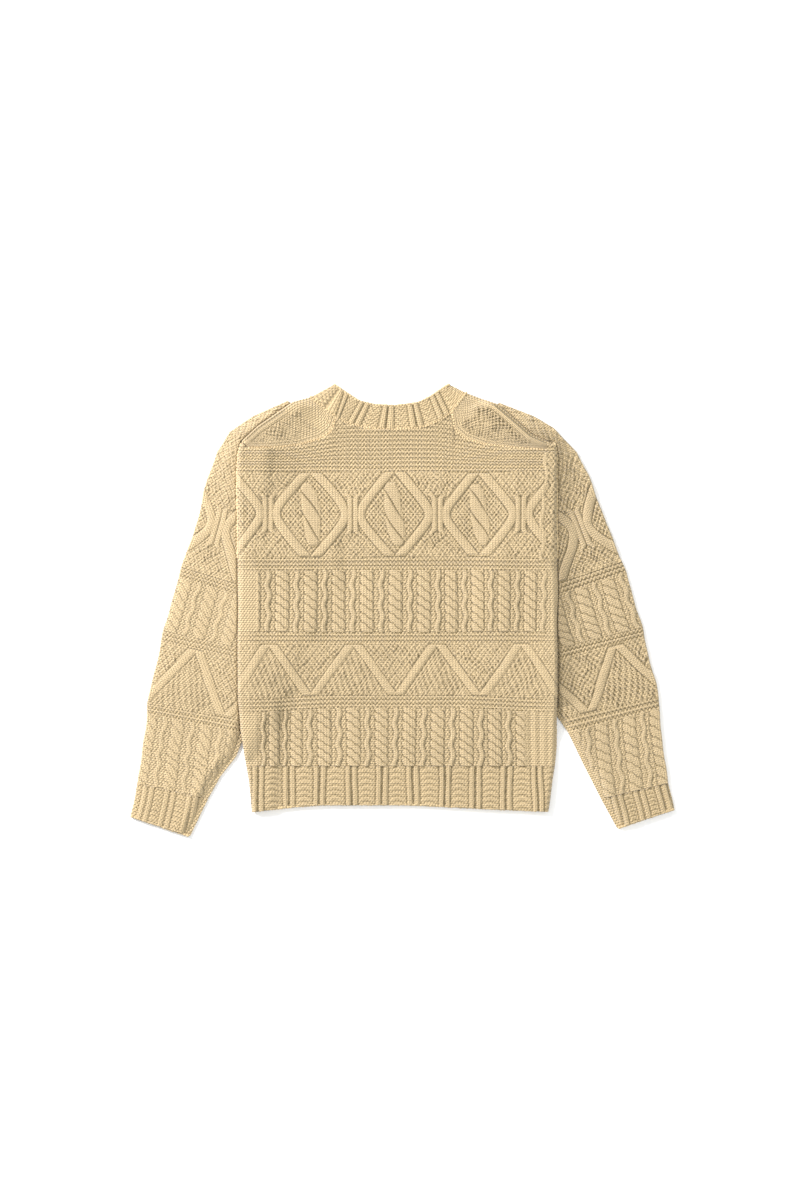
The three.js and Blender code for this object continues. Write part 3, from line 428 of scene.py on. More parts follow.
def stitches_of_yarn():
    """The V of each plain stitch where cloth is raised, and the bump of each purl stitch elsewhere."""
    tree, given, result = effect(
        "stitches_of_yarn",
        [("Stitches", "NodeSocketVector", None), ("Raised", "NodeSocketFloat", 0.0)],
        [("Height", "NodeSocketFloat"), ("Shade", "NodeSocketFloat")],
    )
    apart = node(tree, "ShaderNodeSeparateXYZ", [given["Stitches"]]).outputs
    from_middle = calculate(tree, "SUBTRACT", calculate(tree, "FRACT", apart[0]), 0.5)
    from_middle = calculate(tree, "ABSOLUTE", from_middle)
    leg = calculate(tree, "SINE", calculate(tree, "MULTIPLY", from_middle, 2 * math.pi))
    leaning = calculate(tree, "MULTIPLY_ADD", from_middle, 1.1, apart[1])
    row = calculate(tree, "COSINE", calculate(tree, "MULTIPLY", leaning, 2 * math.pi))
    plain = calculate(tree, "MULTIPLY", leg, calculate(tree, "MULTIPLY_ADD", row, 0.35, 0.65))

    def bumps(value):
        turned = calculate(tree, "MULTIPLY", value, math.pi)
        return calculate(tree, "ABSOLUTE", calculate(tree, "SINE", turned))

    offset = calculate(tree, "MULTIPLY_ADD", calculate(tree, "FLOOR", apart[1]), 0.5, apart[0])
    purl_bump = calculate(tree, "MULTIPLY", bumps(offset), bumps(apart[1]))
    height = node(tree, "ShaderNodeMix", [given["Raised"], None, purl_bump, plain], clamp_factor=True)
    tree.links.new(height.outputs[0], result["Height"])
    cell = node(tree, "ShaderNodeVectorMath", [given["Stitches"]], operation="FLOOR").outputs[0]
    tree.links.new(node(tree, "ShaderNodeTexWhiteNoise", [cell]).outputs["Value"], result["Shade"])
    return tree


def wool_fibres():
    """Fine fibres that lie every way over the yarn, and the flecks that they make."""
    tree, given, result = effect(
        "wool_fibres",
        [("Place", "NodeSocketVector", None), ("Scale", "NodeSocketFloat", 420.0)],
        [("Height", "NodeSocketFloat"), ("Fleck", "NodeSocketFloat")],
    )
    fine = node(tree, "ShaderNodeTexNoise", [given["Place"], None, given["Scale"], 4.0, 0.7])
    tree.links.new(fine.outputs["Fac"], result["Height"])
    broad = node(tree, "ShaderNodeTexNoise", [given["Place"], None, 14.0, 3.0, 0.6])
    tree.links.new(broad.outputs["Fac"], result["Fleck"])
    return tree


def wool_tone_and_painted_shade():
    """Painted shade that darkens and warms the wool between the stitches, and wool that is a little uneven
    from stitch to stitch.
    """
    tree, given, result = effect(
        "wool_tone_and_painted_shade",
        [
            ("Wool", "NodeSocketColor", None), ("Shadow", "NodeSocketColor", None),
            ("Painted Shade", "NodeSocketFloat", 0.0), ("Fleck", "NodeSocketFloat", 0.5),
            ("Shade", "NodeSocketFloat", 0.5),
        ],
        [("Colour", "NodeSocketColor")],
    )
    # Painted shade: the wool colour is mixed towards the shadow colour where the attribute is high
    painted_shade = calculate(tree, "MULTIPLY", given["Painted Shade"], 0.85)
    colours = {"Factor": painted_shade, "A": given["Wool"], "B": given["Shadow"]}
    with_painted_shade = node(tree, "ShaderNodeMix", colours, data_type="RGBA").outputs["Result"]
    flecks = calculate(tree, "MULTIPLY_ADD", given["Fleck"], 0.16, 0.92)
    shades = calculate(tree, "MULTIPLY_ADD", given["Shade"], 0.06, 0.97)
    uneven = calculate(tree, "MULTIPLY", flecks, shades)
    tinted = node(tree, "ShaderNodeVectorMath", {0: with_painted_shade, "Scale": uneven}, operation="SCALE")
    tree.links.new(tinted.outputs[0], result["Colour"])
    return tree


def wool(name, colour, shadow, stitch_depth):
    material = bpy.data.materials.new(name)
    material.use_nodes = True
    tree = material.node_tree
    shader = tree.nodes["Principled BSDF"]
    stitches = node(tree, "ShaderNodeUVMap", uv_map="stitches").outputs[0]
    # Painted shade between the stitches, and the painted shadow of the body on a sleeve, read from an
    # attribute
    painted_shade = node(tree, "ShaderNodeAttribute", attribute_name="painted_shade").outputs["Fac"]
    raised = node(tree, "ShaderNodeAttribute", attribute_name="raised").outputs["Fac"]
    place = node(tree, "ShaderNodeTexCoord").outputs["Object"]
    knit = node(tree, "ShaderNodeGroup", node_tree=STITCH_GROUP, inputs=[stitches, raised]).outputs
    fibres = node(tree, "ShaderNodeGroup", node_tree=FIBRE_GROUP, inputs=[place, 420.0]).outputs
    shades = node(tree, "ShaderNodeGroup", node_tree=SHADE_GROUP, inputs={
        "Wool": colour, "Shadow": shadow, "Painted Shade": painted_shade, "Fleck": fibres["Fleck"], "Shade": knit["Shade"],
    })
    height = calculate(tree, "MULTIPLY_ADD", fibres["Height"], 0.5, knit["Height"])
    bump = node(tree, "ShaderNodeBump", {0: 0.8, 1: stitch_depth, "Height": height})
    tree.links.new(shades.outputs["Colour"], shader.inputs["Base Color"])
    tree.links.new(bump.outputs["Normal"], shader.inputs["Normal"])
    shader.inputs["Roughness"].default_value = 0.92
    shader.inputs["Specular IOR Level"].default_value = 0.15
    shader.inputs["Sheen Weight"].default_value = 0.25
    shader.inputs["Sheen Roughness"].default_value = 0.6
    return material


STITCH_GROUP, FIBRE_GROUP, SHADE_GROUP = stitches_of_yarn(), wool_fibres(), wool_tone_and_painted_shade()
BEIGE = (0.635, 0.488, 0.268, 1)
RIB_BEIGE = (0.56, 0.428, 0.232, 1)
BEIGE_SHADOW = (0.13, 0.092, 0.026, 1)
MATERIALS = {
    "wool_knit": wool("wool_knit", BEIGE, BEIGE_SHADOW, 0.0048),
    "wool_rib": wool("wool_rib", RIB_BEIGE, BEIGE_SHADOW, 0.0036),
}


# Where each piece lies
def side_edge(side, y):
    """x of the folded side of the body."""
    straight = np.interp(y, SIDES["y"], SIDES["left" if side == LEFT else "right"])
    return side * (straight + 1.1 * wobble(y, 0 * y, 75, 20 + side) - 0.6)


def tuck_edges(sleeve, side):
    """The line under the body up to which a sleeve reaches, from the hem up."""
    y, x = sleeve["inner_y"][::-1], sleeve["inner_x"][::-1]
    shown = np.nonzero(x > np.abs(side_edge(side, y)))[0][-1]
    y, x = y[shown:], x[shown:]
    return {
        "y": np.concatenate([[y[0] - 2 * SHORT_RAMP], y, [y[-1] + 0.75 * SHORT_RAMP]]),
        "x": np.concatenate([[x[0] + 2 * SHORT_RAMP], x, [x[-1] + SHORT_RAMP]]),
    }


TUCKS = {LEFT: tuck_edges(LEFT_SLEEVE, LEFT), RIGHT: tuck_edges(RIGHT_SLEEVE, RIGHT)}


def lift(x, y):
    """How far the body is raised by the sleeves that are tucked under it."""
    ends = [np.interp(y, TUCKS[side]["y"], TUCKS[side]["x"]) - RAMP_MARGIN for side in (LEFT, RIGHT)]
    end = np.where(x < 0, *ends)
    return LIFT * smooth(1 + (np.abs(x) - end) / np.interp(y, RAMPS["y"], RAMPS["width"]))


# Soft creases of the back, each a low fold with a dip to the right of it: both ends in y, how wide and high
CREASES = table("x upper lower half height", [
    (-178, -110, -385, 13, 3.0), (-188, 285, 140, 12, 2.4), (-88, 140, 10, 12, 2.0), (70, 0, -170, 18, 0.8),
])


def creased(x, y):
    """How far the back stands up: its sides bulge over the sleeves, and a few soft creases run down it."""
    from_middle = np.abs(x) + 3 * np.sin(y / 51)
    fold = BULGE * smooth((from_middle - 186) / 38) * smooth((241 - from_middle) / 9)
    fold = fold * smooth((250 - y) / 60)
    for place, upper, lower, half, height in zip(*CREASES.values()):
        ends = smooth((upper - y) / 45) * smooth((y - lower) / 45)
        across = (x - place - 3 * np.sin(y / 37)) / half
        fold = fold - 1.65 * height * ends * across * np.exp(-(across**2) / 2)
    deepest = 1.7
    return np.where(fold < 0, deepest * np.tanh(fold / deepest), fold)


BACK = {"outside": TUBE, "inside": TUBE - WALL, "edge": MIDDLE + SEAM / 2}
FRONT = {"outside": 0, "inside": WALL, "edge": MIDDLE - SEAM / 2}
PRESSED = 0.4  # how much of their height the stitches keep on the side that the sweater lies on


def on_body(x, y, layer, raised=None):
    """Points of the back or the front. Without a height of stitches, they are inside the sweater."""
    from_edge = np.minimum(x - side_edge(LEFT, y), side_edge(RIGHT, y) - x)
    inside = raised is None
    reach = (from_edge - WALL) / (TURN - WALL) if inside else from_edge / TURN
    turned = np.sqrt(1 - (1 - np.clip(reach, 0, 1)) ** 2)
    face = layer["inside"] if inside else layer["outside"] + raised
    ease = 0
    if layer is BACK and not inside:
        ease = (1.1 * (1 + wobble(x, y, 190, 8)) + creased(x, y)) * turned
    return np.stack([x, y, mix(layer["edge"], face, turned) + ease + lift(x, y)], axis=-1)


# Meshes
def placed(name, data):
    """A new object in the scene."""
    made = bpy.data.objects.new(name, data)
    bpy.context.scene.collection.objects.link(made)
    return made


def zip_rows(a, a_points, b, b_points, faces):
    """Triangles between two rows of points, joined by how far along each row they are."""
    def along(points):
        lengths = np.linalg.norm(np.diff(points, axis=0), axis=1)
        return np.concatenate([[0], np.cumsum(lengths)]) / lengths.sum()
    a_at, b_at = along(a_points), along(b_points)
    i = j = 0
    while i < len(a) - 1 or j < len(b) - 1:
        if j == len(b) - 1 or (i < len(a) - 1 and a_at[i + 1] <= b_at[j + 1]):
            faces.append((a[i], b[j], a[i + 1]))
            i += 1
        else:
            faces.append((a[i], b[j], b[j + 1]))
            j += 1


def blurred(height, times, ring):
    for _ in range(times):
        for axis in (0, 1):
            padding = [(0, 0), (0, 0)]
            padding[axis] = (1, 1)
            padded = np.pad(height, padding, mode="wrap" if ring and axis == 1 else "edge")
            before, after = (padded[:-2], padded[2:]) if axis == 0 else (padded[:, :-2], padded[:, 2:])
            height = (before + 2 * height + after) / 4
    return height


def cloth(name, outer, inner, raised, stitches, slot, ring=False, shaded=0):
    """A closed shell: a fine outside, a plain inside, both grids of points, and a rim round what is open.

    raised: how high the stitches stand at each outer point. stitches: its place, in stitches and rows.
    ring: each row of points closes on itself. shaded: how far cloth beside it keeps light off each one.
    """
    rows, columns = outer.shape[:2]
    points = np.concatenate([outer.reshape(-1, 3), inner.reshape(-1, 3)])
    outer_ids = np.arange(rows * columns).reshape(rows, columns)
    inner_ids = rows * columns + np.arange(inner[..., 0].size).reshape(inner.shape[:2])
    if ring:
        outer_ids = np.column_stack([outer_ids, outer_ids[:, 0]])
        inner_ids = np.column_stack([inner_ids, inner_ids[:, 0]])
    rims = []
    for a, b in (
        (inner_ids[0], outer_ids[0]), (outer_ids[-1], inner_ids[-1]),
        *([] if ring else [(outer_ids[:, 0], inner_ids[:, 0]), (inner_ids[:, -1], outer_ids[:, -1])]),
    ):
        zip_rows(a.tolist(), points[a], b.tolist(), points[b], rims)
    quads = [
        np.stack([i[:-1, :-1], i[1:, :-1], i[1:, 1:], i[:-1, 1:]], axis=-1)
        for i in (outer_ids, inner_ids[:, ::-1])
    ]
    quads = np.concatenate([q.reshape(-1, 4) for q in quads])
    corners = points[quads[:, :3]]
    volume = np.einsum("ij,ij->i", corners[:, 0], np.cross(corners[:, 1], corners[:, 2])).sum()
    turn = -1 if volume < 0 else 1
    faces = quads[:, ::turn].tolist() + [face[::turn] for face in rims]

    mesh = bpy.data.meshes.new(name)
    mesh.from_pydata(((points - [CENTRE_SHIFT, 0, 0]) * MM).tolist(), [], faces)
    mesh.shade_smooth()
    inside_points = inner[..., 0].size
    loops = np.zeros(len(mesh.loops), int)
    mesh.loops.foreach_get("vertex_index", loops)
    inner_stitches = inner.reshape(-1, 3)[:, :2] / [STITCH, ROW]
    places = np.concatenate([stitches.reshape(-1, 2), inner_stitches])
    mesh.uv_layers.new(name="stitches").data.foreach_set("uv", places[loops].ravel())
    # Painted shade: the colour darkens where the cloth lies lower than the stitches around it, and more
    # where shaded paints the shadow of cloth beside it
    painted_shade = np.clip((blurred(raised, 6, ring) - raised) / 0.75 - 0.04, 0, 1)
    painted_shade = painted_shade + (1 - painted_shade) * shaded
    for label, values in (("painted_shade", painted_shade), ("raised", raised / CORD)):
        attribute = mesh.attributes.new(label, "FLOAT", "POINT")
        values = np.concatenate([values.ravel(), np.zeros(inside_points)])
        attribute.data.foreach_set("value", values.astype(np.float32))
    mesh.materials.append(MATERIALS[slot])
    piece = placed(name, mesh)
    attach(piece, ROOT)
    return piece


def steps(low, high, spacing=GRID):
    return np.linspace(low, high, max(2, math.ceil(abs(high - low) / spacing) + 1))


# From 0 at a fold to 1, close together where the cloth turns over
ROUND = 1 - np.cos(np.radians([0, 12, 25, 38, 52, 66, 80]))


def across_body(y, spacing):
    """x of each point of a row from one folded side to the other, at the height of the row's ends."""
    left, right = side_edge(LEFT, y)[..., None], side_edge(RIGHT, y)[..., None]
    middle = np.linspace(0, 1, math.ceil(BODY_WIDTH / spacing))
    inside = mix(left + TURN, right - TURN, middle)
    return np.concatenate([left + TURN * ROUND, inside, (right - TURN * ROUND)[..., ::-1]], axis=-1)


def panel(name, layer, top, low, high, slot, knitted, spacing=GRID):
    """The back or the front from one height to another. In the yoke its rows follow the upper edge."""
    def grid(gap, inset):
        t = np.linspace(0, 1, math.ceil(60 / gap))[:-1] if high > YOKE_END else np.zeros(0)
        rows_y = np.concatenate([mix(YOKE_SIDES, YOKE_END, t), steps(min(high, YOKE_END), low, gap)])
        x = across_body(rows_y, spacing=gap)
        middle = (side_edge(LEFT, rows_y) + side_edge(RIGHT, rows_y))[:, None] / 2
        half = (side_edge(RIGHT, rows_y) - side_edge(LEFT, rows_y))[:, None] / 2
        x = middle + (x - middle) * (half - inset) / half
        y = np.broadcast_to(rows_y[:, None], x.shape).copy()
        above = np.interp(x[: len(t)], top["x"], top["y"] - SEAM) - YOKE_SIDES
        y[: len(t)] += above * (1 - t[:, None]) ** 2
        return x, y
    x, y = grid(spacing, 0)
    raised = knitted(x, y)
    outer = on_body(x, y, layer, raised if layer is BACK else PRESSED * (CORD - raised))
    inner = on_body(*grid(9, WALL), layer)
    return cloth(name, outer, inner, raised, np.stack([x / STITCH, y / ROW], axis=-1), slot)


def hem(name, layer):
    """The ribbed welt of the back or the front, down to its uneven lower edge."""
    def grid(gap, inset):
        t = np.linspace(0, 1, math.ceil(64 / gap))
        x = across_body(mix(HEM_START, HEM_END, t), gap)
        middle, half = x.mean(axis=1)[:, None], np.ptp(x, axis=1)[:, None] / 2
        x = middle + (x - middle) * (half - inset) / half
        return x, mix(HEM_START - TOUCHING, np.interp(x, HEM_EDGE["x"], HEM_EDGE["y"]), t[:, None])
    x, y = grid(GRID if layer is BACK else 3, 0)
    raised = ribs(x + 1.6 * wobble(x, y, 90, 6), -y, HEM_RIBS, -23, 2.1)
    outer = on_body(x, y, layer, raised if layer is BACK else PRESSED * (CORD - raised))
    inner = on_body(*grid(9, WALL), layer)
    return cloth(name, outer, inner, raised, np.stack([x / STITCH, y / ROW], axis=-1), "wool_rib")


# Sleeves and cuffs
FOLD_POINTS = 13
TOP_POINTS = 111
RELIEF = {LEFT: 0.84, RIGHT: 1.2}  # how much of their height the stitches have on each sleeve
IN_SHADE = {LEFT: 0.04, RIGHT: 0.5}  # how much shade the body casts on the sleeve beside it
SHADE_REACH = 38


def along_sleeve(sleeve, place):
    """Both ends of the section at a place along a sleeve, counted in rows of its table."""
    return [np.interp(place, np.arange(len(sleeve["part"])), sleeve[key]) for key in FOLDS]


def even_places(sleeve, first, last, end_gap):
    """Places from one row of a sleeve's table to another, a stitch's detail apart."""
    places = [first]
    for row in range(first, last):
        outer_x, outer_y, _, _ = along_sleeve(sleeve, [row, row + 1])
        length = math.hypot(outer_x[1] - outer_x[0], outer_y[1] - outer_y[0])
        places.extend(np.linspace(row, row + 1, math.ceil(length / GRID) + 1)[1:])
    places = np.array(places)
    places[-1] -= end_gap
    return places


def covered_from(side, outer_x, outer_y, inner_x, inner_y):
    """How far across each section, from 0 to 1, it goes under the folded side of the body or the strap."""
    t = np.linspace(0, 1, 400)
    x, y = mix(outer_x[:, None], inner_x[:, None], t), mix(outer_y[:, None], inner_y[:, None], t)
    strap_rows = LEFT_STRAP if side == LEFT else RIGHT_STRAP
    fold = np.interp(y, strap_rows["fold_y"][::-1], np.abs(strap_rows["fold_x"])[::-1])
    outside = x > np.where(y > YOKE_TOP, fold, np.abs(side_edge(side, y)))
    return np.where(outside.all(axis=1), 1, t[np.argmin(outside, axis=1)])


def sleeve_stitches(parts, places, knitting, unrolled):
    """How high the stitches stand on each ring of a sleeve, in the bands that it runs through."""
    raised = np.zeros_like(unrolled)
    for part, (length, knitted) in knitting.items():
        rows = [i for i, label in enumerate(parts) if label == part]
        for start in [i for i in rows if i - 1 not in rows]:
            past = next(i for i in range(start, len(parts)) if parts[i] != part)
            here = (places >= start) & (places <= past)
            x = unrolled[here]
            y = (places[here, None] - start) / (past - start) * np.ones_like(x) * length
            raised[here] = knitted(x + 1.0 * wobble(x, y, 110, 7), y)
    return raised


def on_sleeve(side, folds, width, across, z):
    """Points at distances across the sections of a sleeve, counted from its outer fold."""
    outer_x, outer_y, inner_x, inner_y = (ends[:, None] for ends in folds)
    t = across / width[:, None]
    return np.stack([side * mix(outer_x, inner_x, t), mix(outer_y, inner_y, t), z], axis=-1)


def tube(name, side, sleeve, knitting, first, last, end_gap, slot):
    """A sleeve or cuff, flattened, with its stitches raised where the body doesn't cover it.

    Each ring runs round the outer fold, over the top, round the inner fold and back underneath.
    """
    places = even_places(sleeve, first, last, end_gap)
    outer_x, outer_y, inner_x, inner_y = along_sleeve(sleeve, places)
    outer_x = outer_x + 1.0 * wobble(outer_y, 0 * outer_y, 60, 23 + side) - 0.8
    folds = (outer_x, outer_y, inner_x, inner_y)
    width = np.hypot(outer_x - inner_x, outer_y - inner_y)
    shown = covered_from(side, *folds) * width
    shown = np.clip(shown, np.minimum(TURN + 3, width - TURN), width - TURN)
    wide, seen = width[:, None], shown[:, None]

    # Across each ring: its points, and their height
    fold = np.radians(np.linspace(-90, 90, FOLD_POINTS))
    outer_fold = np.ones_like(wide) * TURN * (1 - np.cos(fold))
    top = mix(TURN, seen, np.linspace(0, 1, TOP_POINTS + 1)[1:])
    hidden = mix(np.minimum(seen + 4, wide - TURN), wide - TURN, np.linspace(0, 1, 5))
    inner_fold = wide - outer_fold[:, ::-1]
    under = mix(wide - TURN, TURN, np.linspace(0, 1, 8)[1:-1])
    across = np.concatenate([outer_fold, top, hidden, inner_fold[:, 1:], under], axis=1)
    fold_z = np.ones_like(wide) * MIDDLE * (1 + np.sin(fold))
    flat = [np.full_like(part, TUBE) for part in (top, hidden)]
    z = np.concatenate([fold_z, *flat, fold_z[:, ::-1][:, 1:], np.zeros_like(under)], axis=1)
    unrolled = across.copy()
    unrolled[:, :FOLD_POINTS] = TURN - (math.pi / 2 - fold) * MIDDLE * 1.3

    # Stitches, which end where the body covers them and below the folds
    columns = np.arange(across.shape[1])
    from_body = seen - across
    raised = sleeve_stitches(sleeve["part"].tolist(), places, knitting, unrolled)
    fade = smooth(from_body / 5 + 0.2) * smooth((z - MIDDLE) / MIDDLE)
    raised = raised * np.where(columns < FOLD_POINTS + TOP_POINTS, fade, 0) * RELIEF[side]

    # Loose cloth stands up a little, and more beside the body. It is thinner towards both folds.
    on_top = z > TUBE - 0.1
    loose = 0.8 * (1 + wobble(places[:, None] * 40, across, 150, 9 + side)) * on_top
    loose = loose * smooth(across / 20) * smooth(from_body / 20)
    beside_body = BULGE * smooth((from_body + 4) / 8) * smooth(1 - (from_body - 4) / 30) * on_top
    ease = (loose + beside_body) * smooth(across / 20) * smooth((wide - across - TURN) / 14)
    thinner = 0.75 * (1 - smooth((wide - across) / 26)) + 0.35 * (1 - smooth(across / 22))
    z = np.where(z > MIDDLE, MIDDLE + (z - MIDDLE) * (1 - thinner), z)
    outwards = np.zeros(len(columns))
    outwards[:FOLD_POINTS] = np.cos(fold)
    outer = on_sleeve(side, folds, width, across - 0.6 * raised * outwards, z + raised + ease)

    keep = np.unique(np.append(np.arange(len(places))[::8], len(places) - 1))
    wide = width[keep, None]
    thirds = np.array([0.33, 0.67])
    hollow_across = np.concatenate([
        WALL + 0 * wide, TURN + 0 * wide, mix(TURN, wide - TURN, thirds), wide - TURN,
        wide - WALL, wide - TURN, mix(wide - TURN, TURN, thirds), TURN + 0 * wide,
    ], axis=1)
    hollow_z = np.array([MIDDLE] + 4 * [TUBE - WALL] + [MIDDLE] + 4 * [WALL]) + 0 * wide
    inner = on_sleeve(side, [ends[keep] for ends in folds], width[keep], hollow_across, hollow_z)

    lengths = np.hypot(np.diff(outer_x), np.diff(outer_y))
    along = np.cumsum(np.concatenate([[0], lengths]))[:, None] * np.ones_like(z)
    stitches = np.stack([unrolled / STITCH, -along / ROW], axis=-1)
    # Painted shadow of the body on the sleeve beside it, added to the painted shade of the colour
    shaded = IN_SHADE[side] * smooth(1 - from_body / SHADE_REACH) * (from_body > -5)
    shaded = shaded * (shown < width - TURN - 1)[:, None] * smooth((places[:, None] - 1) / 2)
    return cloth(name, outer, inner, raised, stitches, slot, ring=True, shaded=shaded)


# Shoulder straps and neckband
def strap_stitches(x, y, depth, rise):
    """Plain knitting near the neck, fine moss stitch past it, and cords along the fold and the seam.

    x runs from the neck, y from the fold to the seam at depth. rise: how high the moss stitch stands.
    """
    ends = wobble(y, x, 30, 15)
    field = dots(x + 1.8 * wobble(x, y, 24, 16), y + 1.2 * wobble(y, x, 28, 21), 6.6, 7.4)
    field = (rise + 0.7 * ends) * field * smooth((x - 19 - 5 * ends) / 12)
    field = field * smooth((depth - 9 - y) / 3) * smooth((y - 10) / 3)
    seam = 1.5 * mound(depth - 3.4 - y, 2.4) + 1.3 * mound(depth - 8.6 - y, 2)
    fold = 2.4 * mound(y - 6, 5.5) * smooth((x - 30) / 25)
    return np.maximum.reduce([field, seam, fold, purl(x, y) + 0.2])


def strap(name, sections, rise):
    """A shoulder strap, folded over the shoulder line, from its seam to the back to that to the front."""
    count = len(sections["fold_x"])
    place = np.linspace(0, count - 1, 130)
    at = {key: np.interp(place, np.arange(count), column)[:, None] for key, column in sections.items()}
    depth = np.hypot(at["back_x"] - at["fold_x"], at["back_y"] - at["fold_y"])
    under = np.hypot(at["front_x"] - at["fold_x"], at["front_y"] - at["fold_y"])
    turn = np.minimum(TURN, depth / 2)
    lengths = np.hypot(np.diff(at["fold_x"][:, 0]), np.diff(at["fold_y"][:, 0]))
    along = np.concatenate([[0], np.cumsum(lengths)])[:, None]

    def points(key, reach, inward, z):
        """Points inward from the fold, where the seam called key is as far in as reach."""
        x = mix(at["fold_x"], at[key + "_x"], inward / reach)
        y = mix(at["fold_y"], at[key + "_y"], inward / reach)
        return np.stack([x, y, z + lift(x, y)], axis=-1)

    top_points = 48
    inward = mix(turn, depth, np.linspace(1, 0, top_points))
    raised_top = strap_stitches(along, inward, depth, rise)
    raised_top = raised_top * smooth((depth - inward) / 1.5) * smooth(depth / 12)
    raised_top = raised_top * smooth((place.max() - place[:, None]) * 3)
    fold = np.radians(np.linspace(90, -90, 11))
    fold_in, fold_z = turn * (1 - np.cos(fold)), MIDDLE * (1 + np.sin(fold)) + 0 * turn
    top = points("back", depth, inward, TUBE + raised_top)
    bend = points("back", depth, fold_in, fold_z)
    bend_below = points("front", under, fold_in, fold_z)
    below = points("front", under, mix(turn, under, np.linspace(0, 1, 8)), 0 * under + np.zeros(8))
    outer = np.concatenate([top, bend[:, 1:6], bend_below[:, 6:-1], below], axis=1)
    raised = np.concatenate([raised_top, np.zeros((len(place), outer.shape[1] - top_points))], axis=1)
    inner = np.concatenate([
        points("back", depth, mix(turn, depth, np.linspace(1, 0, 6)), TUBE - WALL + np.zeros(6) * turn),
        points("back", depth, np.minimum(WALL, 0.75 * turn), MIDDLE + 0 * turn),
        points("front", under, mix(turn, under, np.linspace(0, 1, 6)), WALL + np.zeros(6) * turn),
    ], axis=1)[::6]
    rows = np.arange(raised.shape[1]) * GRID / ROW + 0 * raised
    stitches = np.stack([np.broadcast_to(along / STITCH, raised.shape), rows], axis=-1)
    return cloth(name, outer, inner, raised, stitches, "wool_knit")


def neckband(name):
    """A ribbed ring, folded flat at both shoulders. Rows run round it, from its free edge to its seam."""
    lengths = np.hypot(np.diff(NECK["edge_x"]), np.diff(NECK["edge_y"]))
    at = np.concatenate([[0], np.cumsum(lengths)])
    half = at[NECK_FOLD]

    def ring(distance, t, raised, inset):
        """Points round the band. The back half lies at the top, and cloth curves over at both folds."""
        x = mix(np.interp(distance, at, NECK["edge_x"]), np.interp(distance, at, NECK["seam_x"]), t)
        y = mix(np.interp(distance, at, NECK["edge_y"]), np.interp(distance, at, NECK["seam_y"]), t)
        from_fold = np.minimum(np.abs(distance - half), np.minimum(distance, at[-1] - distance))
        radius = TURN - inset
        turned = np.sqrt(1 - (1 - np.clip((from_fold - inset) / radius, 0, 1)) ** 2)
        upper = distance <= half
        face = np.where(upper, TUBE - inset + raised, inset)
        z = mix(MIDDLE, face, turned)
        return np.stack([x, y, z + lift(x, y)], axis=-1)

    bend = TURN * ROUND
    fine = np.concatenate([bend, steps(TURN, half - TURN, 1.2), half - bend[::-1]])
    rest = np.concatenate([half + bend[1:], steps(half + TURN, at[-1] - TURN, 5), at[-1] - bend[:0:-1]])
    distance = np.concatenate([fine, rest])[None, :]
    t = np.linspace(0, 1, 34)[:, None]
    raised = neck_ribs(distance + 0 * t, t * 38) * (distance <= half)
    raised = raised * smooth(t / 0.06) * smooth((1 - t) / 0.05) + 0.9 * mound(t - 0.03, 0.03)
    outer = ring(distance, t, raised, 0)
    inner_at = np.concatenate([steps(WALL, half - WALL, 8), steps(half + WALL, at[-1] - WALL, 8)])[None, :]
    inner = ring(inner_at, np.array([[0.0], [0.5], [1.0]]), 0, WALL)
    stitches = np.stack([distance / STITCH + 0 * t, t * 40 / ROW + 0 * distance], axis=-1)
    return cloth(name, outer, inner, raised, stitches, "wool_rib", ring=True)


# Rows of loops along seams and cast-off edges
def loop_row_nodes():
    """Lays small loops along a line, each leaning across it and slightly uneven."""
    tree = bpy.data.node_groups.new("loop_row", "GeometryNodeTree")
    sockets = tree.interface
    sockets.new_socket("Line", in_out="INPUT", socket_type="NodeSocketGeometry")
    for label, kind, value in (
        ("Spacing", "NodeSocketFloat", 0.005), ("Length", "NodeSocketFloat", 0.006),
        ("Width", "NodeSocketFloat", 0.003), ("Lean", "NodeSocketFloat", 0.6),
        ("Seed", "NodeSocketInt", 1), ("Wool", "NodeSocketMaterial", None),
    ):
        socket = sockets.new_socket(label, in_out="INPUT", socket_type=kind)
        if value is not None:
            socket.default_value = value
    sockets.new_socket("Loops", in_out="OUTPUT", socket_type="NodeSocketGeometry")
    given = tree.nodes.new("NodeGroupInput").outputs

    line = node(tree, "GeometryNodeMeshToCurve", [given["Line"]]).outputs[0]
    spacing = {"Curve": line, "Length": given["Spacing"]}
    even = node(tree, "GeometryNodeResampleCurve", spacing, mode="LENGTH").outputs[0]
    spots = node(tree, "GeometryNodeCurveToPoints", {"Curve": even}, mode="EVALUATED").outputs
    ball = node(tree, "GeometryNodeMeshUVSphere", [7, 5, 0.5]).outputs["Mesh"]
    ball = node(tree, "GeometryNodeSetShadeSmooth", [ball]).outputs[0]
    size = node(tree, "ShaderNodeCombineXYZ", [given["Width"], given["Width"], given["Length"]]).outputs[0]
    loop = node(tree, "GeometryNodeTransform", {"Geometry": ball, "Scale": size}).outputs[0]
    lean = node(tree, "ShaderNodeCombineXYZ", [given["Lean"], 0.0, 0.0]).outputs[0]
    lean = node(tree, "FunctionNodeEulerToRotation", [lean]).outputs[0]
    turned = [spots["Rotation"], lean]
    turned = node(tree, "FunctionNodeRotateRotation", turned, rotation_space="LOCAL").outputs[0]
    limits = {2: 0.85, 3: 1.2, "Seed": given["Seed"]}
    uneven = node(tree, "FunctionNodeRandomValue", limits, data_type="FLOAT").outputs[1]
    laid = node(tree, "GeometryNodeInstanceOnPoints", {
        "Points": spots["Points"], "Instance": loop, "Rotation": turned, "Scale": uneven,
    }).outputs[0]
    real = node(tree, "GeometryNodeRealizeInstances", [laid]).outputs[0]
    finished = node(tree, "GeometryNodeSetMaterial", {"Geometry": real, "Material": given["Wool"]})
    tree.links.new(finished.outputs[0], tree.nodes.new("NodeGroupOutput").inputs[0])
    return tree


